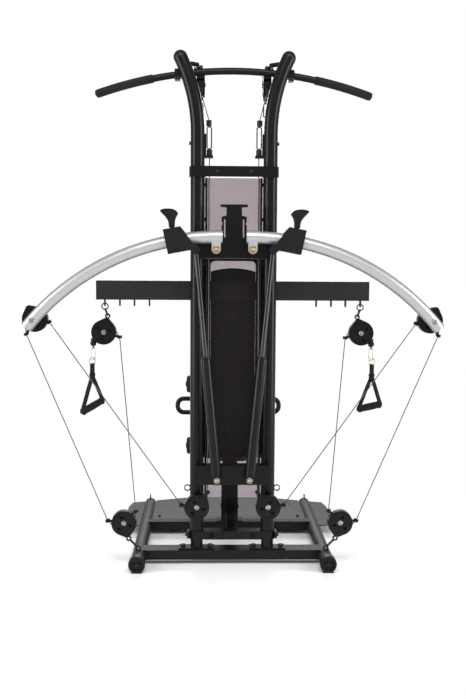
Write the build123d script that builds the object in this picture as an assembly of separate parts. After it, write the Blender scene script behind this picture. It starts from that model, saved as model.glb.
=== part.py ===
from build123d import *
import math
import os

# Multi station home gym. Millimetres, +Z up, +X to the right, the bench on the +Y side.
# Lengths in Y are measured from the mast plane; MAST_Y places that plane in the part's frame.
OVERALL_HEIGHT = 2100.0
FRONT_Y = -165.0
REAR_Y = 935.0
MAST_Y = -(FRONT_Y + REAR_Y) / 2

# Base
RUNNER_X = 388.0
RUNNER_R = 28.0
RUNNER_Z = 35.0
RUNNER_FRONT = -150.0
RUNNER_REAR = 848.0
WALL = 3.0
CROSS_Z0 = 20.0
CROSS_Z1 = 60.0
FRONT_CROSS = (-42.0, 38.0)
REAR_CROSS = (405.0, 455.0)
DECK_TOP = 45.0
DECK_THICK = 4.0
DECK_HALF = 488.0
DECK_CORNER_Y = 826.0
DECK_WING_Y = 400.0

# Mast
POST_X = 148.0
POST_R = 28.5
SPIGOT_R = 25.4
POST_Z0 = 137.0
POST_JOINT_Z = 1468.0
SPLAY_Z = 1768.0
SPLAY_R = 695.0
CAP_RISE = 26.7
SPLAY_ANGLE = math.degrees(math.asin((OVERALL_HEIGHT - SPLAY_Z - CAP_RISE) / SPLAY_R))
COLLAR_R = 34.0
LOWER_CLAMP_Z = (101.0, 136.0)
UPPER_CLAMP_Z = (1596.0, 1638.0)
EYELET_Z = 315.0

# Power arms, on an arc about the gas springs' lower pivots
ARM_Y = -122.0
ARM_R = 25.0
PIVOT_X = 72.5
PIVOT_Z = 1303.0
SPRING_X = 66.0
SPRING_Z = 376.0
ARM_ARC = 976.0
ARM_START = -0.9
ARM_END = 50.8
ROD_EYE_ARC = 924.0
ROD_EYE_ANGLE = 5.34
CLAMP_ANGLES = (8.0, 12.2)
CLAMP_ARCS = (928.0, 1026.0)
CLAMP_HALF_DEPTH = 37.0
LEVER_ANGLE = 10.3

# Gas springs
CYLINDER_R = 20.5
CYLINDER_LENGTH = 492.0
ROD_R = 10.0
MOUTH_R = 15.6
PISTON_R = 12.5

# Cable pulleys
CABLE_R = 2.0
SPAN_GAP = 3.0
WHEEL_CABLE_R = 44.0
WHEEL_R = 47.0
HOUSING_R = 51.5
HOUSING_HALF = 15.0
CHEEK = 4.0
LUG_ARC = 69.0
NOSE_ARC = 50.0
NOSE_R = 12.0
CABLE_Y = -57.0
AXLE_R = 5.0
INNER_PULLEY = (147.0, 248.0)
OUTER_PULLEY = (446.0, 182.0)
ARM_PULLEY = (800.0, 1020.0)
STORAGE_PULLEY = (535.0, 961.0)
TOP_PULLEY = (137.0, 130.0, 1986.0)
INNER_GUIDE = (212.0, 256.0)
ARM_GUIDE_IN = (744.0, 1008.0)
ARM_GUIDE_OUT = (837.0, 959.0)
OUTER_GUIDE = (513.0, 190.0)
OUTER_GUIDE_UP = (398.0, 231.0)
STORAGE_GUIDE = (470.0, 941.0)
EXIT_DROP = -31.0

DOCK = (100.0, 0.0, 1696.0)
UPPER_STOP = (102.6, 0.0, 1813.0)
STOP_Z = 922.0
EYE_DROP = 22.0

# Hook rail
RAIL_HALF = 561.0
RAIL_Y = (29.0, 59.0)
RAIL_Z = (1096.0, 1175.0)
TAB_X = (346.0, 408.0, 468.0, 530.0)
TAB_Y = 44.0
TAB_Z = 1081.0

# Lat bar
BAR_ARC = 1650.0
BAR_TOP = 2028.0
BAR_HALF = 565.0
BAR_Y = 50.0
BAR_R = 14.0
GRIP_R = 18.0
GRIP_START = 330.0
CRADLE_X = 230.0

# Bench
COLUMN_HALF = 38.0
SEAT_TOP = 430.0
SEAT_Y = (190.0, 650.0)
BACK_Z = (600.0, 1228.0)
BACK_HALF = 93.0
ROLLER_R = 42.5
ROLLER_HALF = 207.0
UPPER_ROLLER = (785.0, 652.0)
LOWER_ROLLER = (830.0, 336.0)
LEVER_PIVOT_Z = 470.0


# ---------------------------------------------------------------- helpers

def block(x, y, z):
    """A box from three (low, high) pairs."""
    size = [pair[1] - pair[0] for pair in (x, y, z)]
    middle = [(pair[0] + pair[1]) / 2 for pair in (x, y, z)]
    return Pos(*middle) * Box(*size)


def rod(a, b, radius):
    """A round bar from a to b."""
    start, end = Vector(*a), Vector(*b)
    along = end - start
    bottom = (Align.CENTER, Align.CENTER, Align.MIN)
    return Plane(origin=start, z_dir=along) * Cylinder(radius, along.length, align=bottom)


def pipe(a, b, radius, wall=WALL):
    return rod(a, b, radius) - rod(a, b, radius - wall)


def pin_y(x, z, y0, y1, radius):
    return rod((x, y0, z), (x, y1, z), radius)


def ball(centre, radius):
    return Pos(*centre) * Sphere(radius)


def plane_xz(y):
    """A sketch plane whose x and y are the part's X and Z."""
    return Plane(origin=(0, y, 0), x_dir=(1, 0, 0), z_dir=(0, -1, 0))


def plate_xz(points, y0, y1):
    """A flat outline in X and Z, from y0 to y1."""
    face = make_face(Polyline(*points, close=True))
    return extrude(plane_xz(y0) * face, amount=-(y1 - y0))


def plate_yz(points, x0, x1):
    """A flat outline in Y and Z, from x0 to x1."""
    face = make_face(Polyline(*points, close=True))
    plane = Plane(origin=(x0, 0, 0), x_dir=(0, 1, 0), z_dir=(1, 0, 0))
    return extrude(plane * face, amount=x1 - x0)


def ring_arc(centre, normal, start, major, minor, sweep):
    """A round bar bent on an arc of radius major that begins in the start direction."""
    middle, axis = Vector(*centre), Vector(*normal).normalized()
    out = Vector(*start).normalized()
    section = Plane(origin=middle + out * major, x_dir=out, z_dir=axis.cross(out)) * Circle(minor)
    return revolve(section, axis=Axis(middle, axis), revolution_arc=sweep)


def ring(centre, normal, major, minor):
    side = Vector(*normal).cross(Vector(0.31, 0.52, 0.79))
    return ring_arc(centre, normal, side, major, minor, 360)


def cable(points, radius=CABLE_R):
    """A cable pulled tight through its points."""
    runs = [rod(a, b, radius) for a, b in zip(points, points[1:])]
    bends = [ball(p, radius) for p in points[1:-1]]
    return fuse(runs + bends)


def fuse(shapes):
    whole = shapes[0]
    for shape in shapes[1:]:
        whole = whole + shape
    return whole


def mirrored(shape):
    return mirror(shape, about=Plane.YZ)


def both(shape):
    """The shape and its mirror image across the middle of the machine."""
    return [shape, mirrored(shape)]


def polar(angle, arc):
    """X and Z of a point on the right arm's circles: degrees from vertical, and radius."""
    turn = math.radians(angle)
    return (SPRING_X + arc * math.sin(turn), SPRING_Z + arc * math.cos(turn))


def save(name, shapes):
    """Write one node, moved from the mast plane's frame into the part's frame."""
    solids = []
    for shape in shapes if isinstance(shapes, list) else [shapes]:
        solids += (Pos(0, MAST_Y, 0) * shape).solids()
    whole = solids[0] if len(solids) == 1 else Compound(children=solids)
    export_step(whole, f"parts/{name}.step")


def save_pair(name, shape):
    save(f"{name}_right", shape)
    save(f"{name}_left", mirrored(shape))


# ---------------------------------------------------------------- base

def side_tube():
    tube = pipe((RUNNER_X, RUNNER_FRONT, RUNNER_Z), (RUNNER_X, RUNNER_REAR, RUNNER_Z), RUNNER_R)
    return tube + anchor_tab(CABLE_Y) + anchor_tab(RUNNER_REAR - 16, 90)


def anchor_tab(y, turn=0):
    """An eyelet plate that stands on a side tube, where a pulley is hooked on."""
    foot = RUNNER_Z + RUNNER_R
    tab = block((-11, 11), (-2.5, 2.5), (foot - 4, foot + 12)) + pin_y(0, foot + 12, -2.5, 2.5, 11)
    tab = Rot(0, 0, turn) * (tab - pin_y(0, foot + 12, -5, 5, 6))
    core = rod((RUNNER_X, y - 15, RUNNER_Z), (RUNNER_X, y + 15, RUNNER_Z), RUNNER_R - 1)
    return Pos(RUNNER_X, y, 0) * tab - core


def cross_tube(span):
    outer = block((-RUNNER_X, RUNNER_X), span, (CROSS_Z0, CROSS_Z1))
    inner = block((-RUNNER_X, RUNNER_X), (span[0] + WALL, span[1] - WALL),
                  (CROSS_Z0 + WALL, CROSS_Z1 - WALL))
    tube = outer - inner
    for x in (-RUNNER_X, RUNNER_X):
        tube -= rod((x, span[0] - 5, RUNNER_Z), (x, span[1] + 5, RUNNER_Z), RUNNER_R)
    return tube


def front_foot():
    """A ribbed cap with a flat sole that closes the front end of a side tube."""
    front, back = FRONT_Y, FRONT_Y + 42
    rim = RUNNER_R + 6
    foot = pin_y(RUNNER_X, RUNNER_Z, front + 3, back, rim)
    foot += pin_y(RUNNER_X, RUNNER_Z, front + 3, front, rim - 3)
    foot += block((RUNNER_X - 21, RUNNER_X + 21), (front + 3, back), (0, 20))
    recess = pin_y(RUNNER_X, RUNNER_Z, front - 1, front + 8, rim - 9)
    ribs = block((RUNNER_X - 2, RUNNER_X + 2), (front - 1, front + 8), (0, 70))
    ribs += block((RUNNER_X - rim, RUNNER_X + rim), (front - 1, front + 8), (RUNNER_Z - 2, RUNNER_Z + 2))
    ribs += pin_y(RUNNER_X, RUNNER_Z, front - 1, front + 8, 9)
    foot -= recess - ribs
    foot -= rod((RUNNER_X, RUNNER_FRONT - 0.2, RUNNER_Z), (RUNNER_X, 0, RUNNER_Z), RUNNER_R + 0.05)
    return foot


def rear_foot():
    """A rounded plug with a pad beneath it, at the rear end of a side tube."""
    dome = ball((RUNNER_X, RUNNER_REAR, RUNNER_Z), RUNNER_R)
    plug = dome - block((0, 500), (0, RUNNER_REAR), (-50, 100))
    pad = block((RUNNER_X - 20, RUNNER_X + 20), (RUNNER_REAR - 60, RUNNER_REAR + 12), (0, 22))
    pad -= rod((RUNNER_X, RUNNER_REAR - 80, RUNNER_Z), (RUNNER_X, RUNNER_REAR, RUNNER_Z), RUNNER_R)
    return plug + pad


def post_cap():
    """A domed plug in the end of a splayed top tube."""
    end, along = splay_end()
    seat = Plane(origin=Vector(*end), z_dir=Vector(*along))
    return seat * (Pos(0, 0, -2) * Sphere(POST_R) - Pos(0, 0, -50) * Cylinder(60, 100))


def rail_plug():
    return block((RAIL_HALF, RAIL_HALF + 4), RAIL_Y, RAIL_Z)


def platform():
    """The standing deck, at half the height of the side tubes, with a wing outside each."""
    edge = DECK_HALF - 4
    outline = [(-edge, DECK_WING_Y), (edge, DECK_WING_Y), (DECK_HALF + 2, 735), (edge - 8, DECK_CORNER_Y),
               (217, 925), (0, REAR_Y), (-217, 925), (8 - edge, DECK_CORNER_Y), (-DECK_HALF - 2, 735)]
    face = make_face(Polyline(*outline, close=True))
    low = DECK_TOP - DECK_THICK
    deck = Pos(0, 0, low) * extrude(face, amount=DECK_THICK)
    for x in (-RUNNER_X, RUNNER_X):
        deck -= rod((x, 0, RUNNER_Z), (x, RUNNER_REAR, RUNNER_Z), RUNNER_R + 0.05)
        side = RUNNER_R + 0.2
        deck -= block((x - side, x + side), (RUNNER_REAR - 1, RUNNER_REAR + 34), (0, 80))
    inside = RUNNER_X + 6
    deck -= block((-inside, inside), (DECK_WING_Y - 5, REAR_CROSS[1] + 0.1), (0, 80))
    for x in (-330, 330):
        deck -= Pos(x, 560, DECK_TOP) * Box(12, 44, 20)
        deck -= Pos(x * 0.94, 790, DECK_TOP) * Cylinder(5, 20)
    return deck


def base_flange():
    plate = block((POST_X - 75, POST_X + 75), (-34, 28), (CROSS_Z1, CROSS_Z1 + 6))
    return plate - rod((POST_X, 0, 50), (POST_X, 0, 80), SPIGOT_R - WALL)


def stub_tube():
    """The welded stub that carries a mast post, on its flange."""
    return base_flange() + pipe((POST_X, 0, CROSS_Z1 + 6), (POST_X, 0, 300), SPIGOT_R)


def lower_clamp():
    """Two clamp collars joined by a box brace, just above the base."""
    z0, z1 = LOWER_CLAMP_Z
    span = (-POST_X, POST_X)
    clamp = block(span, (-28, 28), (z0, z1)) - block(span, (-24, 24), (z0 + 4, z1 - 4))
    for x in (-POST_X, POST_X):
        clamp += rod((x, 0, z0), (x, 0, z1), 31)
    for x in (-POST_X, POST_X):
        clamp -= rod((x, 0, z0 - 1), (x, 0, z1 + 1), SPIGOT_R + 0.05)
        ear = math.copysign(1, x)
        clamp += block(sorted((x + ear * 30, x + ear * 40)), (-24, 24), (z0 + 4, z1 - 4))
    for x in (-92, -82, 82, 92):
        clamp -= Pos(x, -28, (z0 + z1) / 2) * Box(4, 12, 24)
    return clamp


# ---------------------------------------------------------------- mast

def mast_post():
    post = pipe((POST_X, 0, POST_Z0), (POST_X, 0, POST_JOINT_Z), POST_R, POST_R - SPIGOT_R - 0.05)
    return post + eyelet()


def eyelet():
    """A ring plate on the outer side of a post, for a pulley hook."""
    centre = POST_X + POST_R + 10.5
    eye = pin_y(centre, EYELET_Z, -3, 3, 14) - pin_y(centre, EYELET_Z, -5, 5, 10)
    return eye - rod((POST_X, 0, EYELET_Z - 30), (POST_X, 0, EYELET_Z + 30), POST_R - 1)


def splay_end():
    """The end point and the direction of the right top tube."""
    turn = math.radians(SPLAY_ANGLE)
    x = POST_X + SPLAY_R * (1 - math.cos(turn))
    z = SPLAY_Z + SPLAY_R * math.sin(turn)
    return (x, 0, z), (math.sin(turn), 0, math.cos(turn))


def splayed(radius):
    return ring_arc((POST_X + SPLAY_R, 0, SPLAY_Z), (0, 1, 0), (-1, 0, 0), SPLAY_R, radius, SPLAY_ANGLE)


def top_tube():
    """The upper half of a post, which splays outward, with a spigot down into the lower half."""
    straight = pipe((POST_X, 0, POST_JOINT_Z), (POST_X, 0, SPLAY_Z), POST_R)
    bend = splayed(POST_R) - splayed(POST_R - WALL)
    seat = pipe((POST_X, 0, POST_JOINT_Z), (POST_X, 0, POST_JOINT_Z + 90), POST_R - WALL)
    spigot = pipe((POST_X, 0, POST_JOINT_Z - 90), (POST_X, 0, POST_JOINT_Z + 1), SPIGOT_R)
    return straight + bend + seat + spigot


def upper_clamp():
    """Two collars with a flat bar between them."""
    z0, z1 = UPPER_CLAMP_Z
    clamp = block((-POST_X, POST_X), (-40, -31), (z0, z1))
    for x in (-POST_X, POST_X):
        clamp += rod((x, 0, z0), (x, 0, z1), COLLAR_R)
        clamp += block((x - 26, x + 26), (-40, 0), (z0, z1))
    for x in (-POST_X, POST_X):
        clamp -= rod((x, 0, z0 - 1), (x, 0, z1 + 1), POST_R + 0.05)
    for x in (-68, 68):
        clamp -= pin_y(x, (z0 + z1) / 2, -45, -25, 5)
    return clamp


def hub_beam():
    """The box beam between the posts, with a boss for each arm pivot."""
    beam = block((-POST_X, POST_X), (-62, -22), (1268, 1342))
    beam -= block((-POST_X, POST_X), (-58, -26), (1272, 1338))
    for x in (-POST_X, POST_X):
        beam -= rod((x, 0, 1200), (x, 0, 1400), POST_R)
    for x in (-PIVOT_X, PIVOT_X):
        beam += pin_y(x, PIVOT_Z, -100.5, -26, 17)
        beam -= pin_y(x, PIVOT_Z, -110, -20, 8.05)
    return beam


def latch_plate():
    """The tee-shaped keeper above the hub."""
    half = [(51, 1342), (51, 1400), (47, 1404), (47, 1412), (51, 1416), (51, 1434),
            (31, 1440), (31, 1472), (55, 1474), (55, 1484)]
    outline = half + [(-x, z) for x, z in reversed(half)]
    plate = plate_xz(outline, -62, -52)
    for x in (-38, 38):
        plate -= block((x - 3, x + 3), (-70, -40), (1352, 1424))
    tray = block((-55, 55), (-62, -28), (1474, 1478))
    return plate + tray


def hook_rail():
    """The rail behind the posts, with a row of hook tabs under it."""
    rail = block((-RAIL_HALF, RAIL_HALF), RAIL_Y, RAIL_Z)
    rail -= block((-RAIL_HALF, RAIL_HALF), (RAIL_Y[0] + WALL, RAIL_Y[1] - WALL),
                  (RAIL_Z[0] + WALL, RAIL_Z[1] - WALL))
    for side in (-1, 1):
        for x in TAB_X:
            rail += hook_tab(side * x)
    return rail


def hook_tab(x):
    tab = block((x - 3, x + 3), (TAB_Y - 12, TAB_Y + 12), (TAB_Z, RAIL_Z[0]))
    tab += rod((x - 3, TAB_Y, TAB_Z), (x + 3, TAB_Y, TAB_Z), 12)
    return tab - rod((x - 5, TAB_Y, TAB_Z), (x + 5, TAB_Y, TAB_Z), 6)


def mesh_screen():
    """The cloth screen that fills the space between the posts."""
    return block((-108, 108), (14.2, 15.8), (268, 1594))


def mesh_rail():
    """The rod that one edge of the screen is laced to, with clips to the post."""
    rail = rod((112.5, 15, 262), (112.5, 15, 1595.5), 4.2)
    for z in (440, 700, 1050, 1240, 1420, 1560):
        post = rod((POST_X, 0, z - 1), (POST_X, 0, z + 15), POST_R)
        rail += block((112.5, 128), (11, 19), (z, z + 14)) - post
    return rail


def spring_bracket():
    """The beam that carries the lower ends of the gas springs, with holes where the cables pass."""
    beam = block((-POST_X, POST_X), (-78, -22), (344, 423)) - block((-POST_X, POST_X), (-74, -26), (348, 419))
    for x in (-POST_X, POST_X):
        beam -= rod((x, 0, 300), (x, 0, 450), POST_R)
    for x in (-SPRING_X, SPRING_X):
        beam += pin_y(x, SPRING_Z, -100, -26, 15)
        beam -= pin_y(x, SPRING_Z, -110, -20, 8.05)
    for x in (-102, 102):
        beam -= rod((x, -53, 300), (x, -53, 450), 9)
    return beam


# ---------------------------------------------------------------- power arms

def arm():
    """The curved tube with its pivot lug."""
    turn = math.radians(ARM_START)
    first = (math.sin(turn), 0, math.cos(turn))
    centre = (SPRING_X, ARM_Y, SPRING_Z)
    sweep = ARM_END - ARM_START
    tube = ring_arc(centre, (0, 1, 0), first, ARM_ARC, ARM_R, sweep)
    hollow = ring_arc(centre, (0, 1, 0), first, ARM_ARC, ARM_R - WALL, sweep)
    lug = block((PIVOT_X - 18, PIVOT_X + 18), (-143, -101), (PIVOT_Z, PIVOT_Z + 44))
    lug += pin_y(PIVOT_X, PIVOT_Z, -143, -101, 18)
    body = (tube + lug) - hollow - pin_y(PIVOT_X, PIVOT_Z, -150, -90, 8.05)
    for angle in range(10, 48, 4):
        body -= index_hole(angle + LEVER_ANGLE - 10)
    body -= pin_y(*ARM_PULLEY, -160, -80, AXLE_R + 0.05)
    return body + arm_plug(ARM_START, -3) + arm_plug(ARM_END, 3)


def arm_plug(angle, past):
    """A domed plug in one end of the arm's tube."""
    x, z = polar(angle, ARM_ARC)
    turn = math.radians(angle)
    along = Vector(math.cos(turn), 0, -math.sin(turn)) * past
    tip = Vector(x, ARM_Y, z) + along
    return rod((x, ARM_Y, z), tip, ARM_R)


def index_hole(angle):
    """A locking hole in the outer side of the arm."""
    inner, outer = polar(angle, ARM_ARC + 10), polar(angle, ARM_ARC + 30)
    return rod((inner[0], ARM_Y, inner[1]), (outer[0], ARM_Y, outer[1]), 5.5)


def clamp():
    """The sliding clamp on the arm, with the lug that holds the gas spring's rod."""
    low, high = CLAMP_ARCS
    first, last = CLAMP_ANGLES
    corners = [(last, low), (last, high), (first + 0.3, high + 1), (first - 0.5, high - 22),
               (5.9, 955), (4.6, 942), (4.2, 928), (4.9, 913), (5.8, 913), (6.8, 930)]
    body = plate_xz([polar(a, arc) for a, arc in corners], ARM_Y - CLAMP_HALF_DEPTH, ARM_Y + CLAMP_HALF_DEPTH)
    turn = math.radians(3)
    start = (math.sin(turn), 0, math.cos(turn))
    body -= ring_arc((SPRING_X, ARM_Y, SPRING_Z), (0, 1, 0), start, ARM_ARC, ARM_R + 0.1, 12)
    slot = plate_xz([polar(a, arc) for a, arc in ((3.5, 900), (3.5, 946), (7.4, 946), (7.4, 900))],
                    ARM_Y - 12, ARM_Y + 12)
    x, z = polar(ROD_EYE_ANGLE, ROD_EYE_ARC)
    inner, outer = polar(LEVER_ANGLE, ARM_ARC + 20), polar(LEVER_ANGLE, high + 10)
    body -= slot
    body -= rod((inner[0], ARM_Y, inner[1]), (outer[0], ARM_Y, outer[1]), 5.1)
    return body + pin_y(x, z, ARM_Y - 40, ARM_Y + 40, 5)


def pull_lever():
    """The horn-shaped lever that draws the locking pin out of the arm."""
    tip, top = polar(LEVER_ANGLE, ARM_ARC + ARM_R + 0.4), polar(LEVER_ANGLE, CLAMP_ARCS[1] + 8)
    pin = rod((tip[0], ARM_Y, tip[1]), (top[0], ARM_Y, top[1]), 5)
    horn = [(9.2, 1028.5), (11.4, 1028.5), (11.5, 1050), (12.2, 1068), (13.1, 1084), (12.6, 1096),
            (11.0, 1100), (9.3, 1094), (9.5, 1084), (10.2, 1074), (9.6, 1050)]
    blade = plate_xz([polar(a, arc) for a, arc in horn], ARM_Y - 11, ARM_Y + 11)
    return pin + blade


def spring_axis(distance):
    return polar(ROD_EYE_ANGLE, distance)


def along_spring(low, high, radius):
    """A round bar on the gas spring's axis between two distances from its lower pivot."""
    (x0, z0), (x1, z1) = spring_axis(low), spring_axis(high)
    return rod((x0, ARM_Y, z0), (x1, ARM_Y, z1), radius)


def spring_gland():
    """The wiper ring round the rod, which floats on the cylinder's mouth."""
    start, end = CYLINDER_LENGTH + 0.4, CYLINDER_LENGTH + 11
    return along_spring(start, end, 16.5) - along_spring(start - 1, end + 1, ROD_R + 0.05)


def spring_cylinder():
    """The gas spring's tube, with a wide mouth for the rod and an eye on the lower pivot pin."""
    body = along_spring(14, CYLINDER_LENGTH, CYLINDER_R)
    body -= along_spring(34, CYLINDER_LENGTH - 8, CYLINDER_R - 3)
    body -= along_spring(CYLINDER_LENGTH - 9, CYLINDER_LENGTH + 1, MOUTH_R)
    body += pin_y(SPRING_X, SPRING_Z, -142, -102, 19)
    return body - pin_y(SPRING_X, SPRING_Z, -150, -90, 8.05)


def spring_rod():
    """The gas spring's rod, with its piston and the eye at its top."""
    body = along_spring(420, 912, ROD_R) + along_spring(420, 436, PISTON_R)
    x, z = spring_axis(ROD_EYE_ARC)
    body += pin_y(x, z, ARM_Y - 11, ARM_Y + 11, 14)
    return body - pin_y(x, z, ARM_Y - 20, ARM_Y + 20, 9.5)


# ---------------------------------------------------------------- pulleys
# A pulley is drawn about the origin with its axle along Y, then placed.

def wheel():
    """A grooved cable wheel."""
    half = [(AXLE_R + 0.05, 10.5), (14, 10.5), (16, 4), (37, 4), (39, 8), (WHEEL_R, 8),
            (WHEEL_R, 5), (41.6, 1.5)]
    outline = half + [(r, -y) for r, y in reversed(half)]
    face = make_face(Polyline(*outline, close=True))
    return revolve(face, axis=Axis.Y, revolution_arc=360)


def housing(lug_angle, guides, has_lug=True):
    """Two cheeks and a rim round a wheel, with a hanging lug and a guide ring for each cable."""
    turn = math.radians(lug_angle)
    along = (math.cos(turn), math.sin(turn))
    side = math.acos((HOUSING_R - NOSE_R) / NOSE_ARC)
    body = pin_y(0, 0, -HOUSING_HALF, HOUSING_HALF, HOUSING_R)
    tip = (NOSE_ARC * along[0], NOSE_ARC * along[1])
    nose = [(tip[0] + NOSE_R * math.cos(turn + s), tip[1] + NOSE_R * math.sin(turn + s))
            for s in (side, side / 3, -side / 3, -side)]
    skirt = [(HOUSING_R * math.cos(turn + s), HOUSING_R * math.sin(turn + s)) for s in (-side, side)]
    body += plate_xz(nose + skirt, -HOUSING_HALF, HOUSING_HALF)
    lug = (LUG_ARC * along[0], LUG_ARC * along[1])
    if has_lug:
        body += pin_y(*lug, -4, 4, 11)
        body -= pin_y(*lug, -20, -4, 13) + pin_y(*lug, 4, 20, 13)
        body -= pin_y(*lug, -20, 20, 5.5)
    for guide in guides:
        body = with_guide(body, *guide)
    body -= pin_y(0, 0, -HOUSING_HALF + CHEEK, HOUSING_HALF - CHEEK, HOUSING_R - 2.4)
    body -= pin_y(0, 0, -20, 20, AXLE_R + 0.05)
    for start in (lug_angle + 60, lug_angle + 180, lug_angle + 300):
        body -= cheek_window(start)
    return body


def cheek_window(angle):
    """One of the openings in the two cheeks, beside the axle."""
    turn = math.radians(angle)
    return pin_y(27 * math.cos(turn), 27 * math.sin(turn), -20, 20, 8)


def with_guide(body, x, z, heading, contact):
    """Add the ring that a cable runs through at (x, z), and open the rim towards the wheel."""
    turn = math.radians(heading)
    along = Vector(math.cos(turn), 0, math.sin(turn))
    spot = Vector(x, 0, z)
    inward = Vector(-x, 0, -z).normalized()
    root = spot + inward * (spot.length - HOUSING_R + 4)
    outer = rod((spot - along * 6), (spot + along * 6), 10)
    strut = rod(spot, root, 6)
    bore = rod(spot - along * 12, spot + along * 12, 5)
    meet = Vector(*on_wheel((0, 0), contact, 0))
    return (body + outer + strut) - bore - rod(spot, meet, 5)


def placed(shape, x, z, y=CABLE_Y):
    return Pos(x, y, z) * shape


def top_placed(shape):
    """A pulley at the top of the machine, with its axle along X."""
    return Pos(*TOP_PULLEY) * Rot(0, 0, 90) * shape


def tangent(centre, guide, side):
    """The angle where a cable from the guide meets the wheel; side is 1 or -1."""
    dx, dz = guide[0] - centre[0], guide[1] - centre[1]
    return math.degrees(math.atan2(dz, dx) + side * math.acos(WHEEL_CABLE_R / math.hypot(dx, dz)))


def on_wheel(centre, angle, y):
    turn = math.radians(angle)
    return (centre[0] + WHEEL_CABLE_R * math.cos(turn), y, centre[1] + WHEEL_CABLE_R * math.sin(turn))


def wrap(centre, y, start, end, radius=CABLE_R):
    """The cable round a wheel, clockwise from start to end as seen from the front."""
    turn = math.radians(start)
    out = (math.cos(turn), 0, math.sin(turn))
    return ring_arc((centre[0], y, centre[1]), (0, 1, 0), out, WHEEL_CABLE_R, radius, start - end)


def heading(a, b):
    return math.degrees(math.atan2(b[1] - a[1], b[0] - a[0]))


def local(centre, guide, other, side):
    """A guide ring's place on its housing, its heading, and where its cable meets the wheel."""
    return (guide[0] - centre[0], guide[1] - centre[1], heading(guide, other), tangent(centre, guide, side))


def root_housings():
    left_exit, right_exit = (-WHEEL_CABLE_R, EXIT_DROP, 90, 180), (WHEEL_CABLE_R, EXIT_DROP, 90, 0)
    up = (-WHEEL_CABLE_R, 61, 90, 180)
    inner = housing(128, [local(INNER_PULLEY, INNER_GUIDE, ARM_GUIDE_IN, -1), up], False)
    outer = housing(-106, [local(OUTER_PULLEY, OUTER_GUIDE, ARM_GUIDE_OUT, -1),
                           local(OUTER_PULLEY, OUTER_GUIDE_UP, STORAGE_GUIDE, 1)])
    storage = housing(103.6, [local(STORAGE_PULLEY, STORAGE_GUIDE, OUTER_GUIDE_UP, -1), right_exit])
    top = housing(90, [left_exit, right_exit])
    shapes = both(placed(inner, *INNER_PULLEY)) + both(placed(outer, *OUTER_PULLEY))
    shapes += both(placed(storage, *STORAGE_PULLEY, TAB_Y)) + both(top_placed(top))
    return shapes


def arm_end_housing():
    """The arm-end pulley's housing, its spacer, and the cable where it goes over the wheel."""
    guides = [local(ARM_PULLEY, ARM_GUIDE_IN, INNER_GUIDE, -1),
              local(ARM_PULLEY, ARM_GUIDE_OUT, OUTER_GUIDE, 1)]
    body = housing(62, guides, False)
    body = placed(body, *ARM_PULLEY)
    spacer = pin_y(*ARM_PULLEY, -96.8, CABLE_Y - HOUSING_HALF, 11)
    body += spacer - pin_y(*ARM_PULLEY, -100, -60, AXLE_R + 0.05)
    start = tangent(ARM_PULLEY, ARM_GUIDE_IN, -1) % 360
    end = tangent(ARM_PULLEY, ARM_GUIDE_OUT, 1)
    thin = CABLE_R - 0.2
    loop = [wrap(ARM_PULLEY, CABLE_Y, start, end, thin),
            rod(on_wheel(ARM_PULLEY, start, CABLE_Y), (ARM_GUIDE_IN[0], CABLE_Y, ARM_GUIDE_IN[1]), thin),
            rod(on_wheel(ARM_PULLEY, end, CABLE_Y), (ARM_GUIDE_OUT[0], CABLE_Y, ARM_GUIDE_OUT[1]), thin)]
    bolt = pin_y(*ARM_PULLEY, -151, CABLE_Y + HOUSING_HALF + 5, AXLE_R)
    bolt += pin_y(*ARM_PULLEY, -152, -147.2, 9) + pin_y(*ARM_PULLEY, -41.8, -36, 9)
    return [body, fuse(loop), bolt]


# ---------------------------------------------------------------- cables and their fittings

def arm_cable(low, high):
    """A tight cable from a guide on the base to a guide on the arm."""
    start, end = Vector(low[0], CABLE_Y, low[1]), Vector(high[0], CABLE_Y, high[1])
    short = (end - start).normalized() * SPAN_GAP
    return rod(start + short, end - short, CABLE_R)


def mast_cable():
    """From the dock, down the mast, and under the inner base wheel to its guide."""
    end = tangent(INNER_PULLEY, INNER_GUIDE, -1)
    low = on_wheel(INNER_PULLEY, 180, CABLE_Y)
    points = [(DOCK[0], 0, DOCK[2] - 14.2), (low[0], CABLE_Y, low[2] + 62), low]
    stub = rod(on_wheel(INNER_PULLEY, end, CABLE_Y), (INNER_GUIDE[0], CABLE_Y, INNER_GUIDE[1]), CABLE_R)
    turn = ring_arc((INNER_PULLEY[0], CABLE_Y, INNER_PULLEY[1]), (0, -1, 0), (-1, 0, 0),
                    WHEEL_CABLE_R, CABLE_R, 180 + end)
    return fuse([cable(points), turn, stub])


def side_cable():
    """Under the outer base wheel, up to the storage pulley, over it and down to the ball stop."""
    first = tangent(OUTER_PULLEY, OUTER_GUIDE, -1)
    last = tangent(OUTER_PULLEY, OUTER_GUIDE_UP, 1) - 360
    under = wrap(OUTER_PULLEY, CABLE_Y, first, last)
    enter = rod((OUTER_GUIDE[0], CABLE_Y, OUTER_GUIDE[1]), on_wheel(OUTER_PULLEY, first, CABLE_Y), CABLE_R)
    over_start = tangent(STORAGE_PULLEY, STORAGE_GUIDE, -1) % 360
    climb = [on_wheel(OUTER_PULLEY, last, CABLE_Y), (OUTER_GUIDE_UP[0], CABLE_Y, OUTER_GUIDE_UP[1]),
             (STORAGE_GUIDE[0], TAB_Y, STORAGE_GUIDE[1]), on_wheel(STORAGE_PULLEY, over_start, TAB_Y)]
    over = wrap(STORAGE_PULLEY, TAB_Y, over_start, 0)
    stop = (STORAGE_PULLEY[0] + WHEEL_CABLE_R, TAB_Y, STOP_Z)
    drop = rod(on_wheel(STORAGE_PULLEY, 0, TAB_Y), stop, CABLE_R)
    return fuse([enter, under, cable(climb), over, drop])


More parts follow.
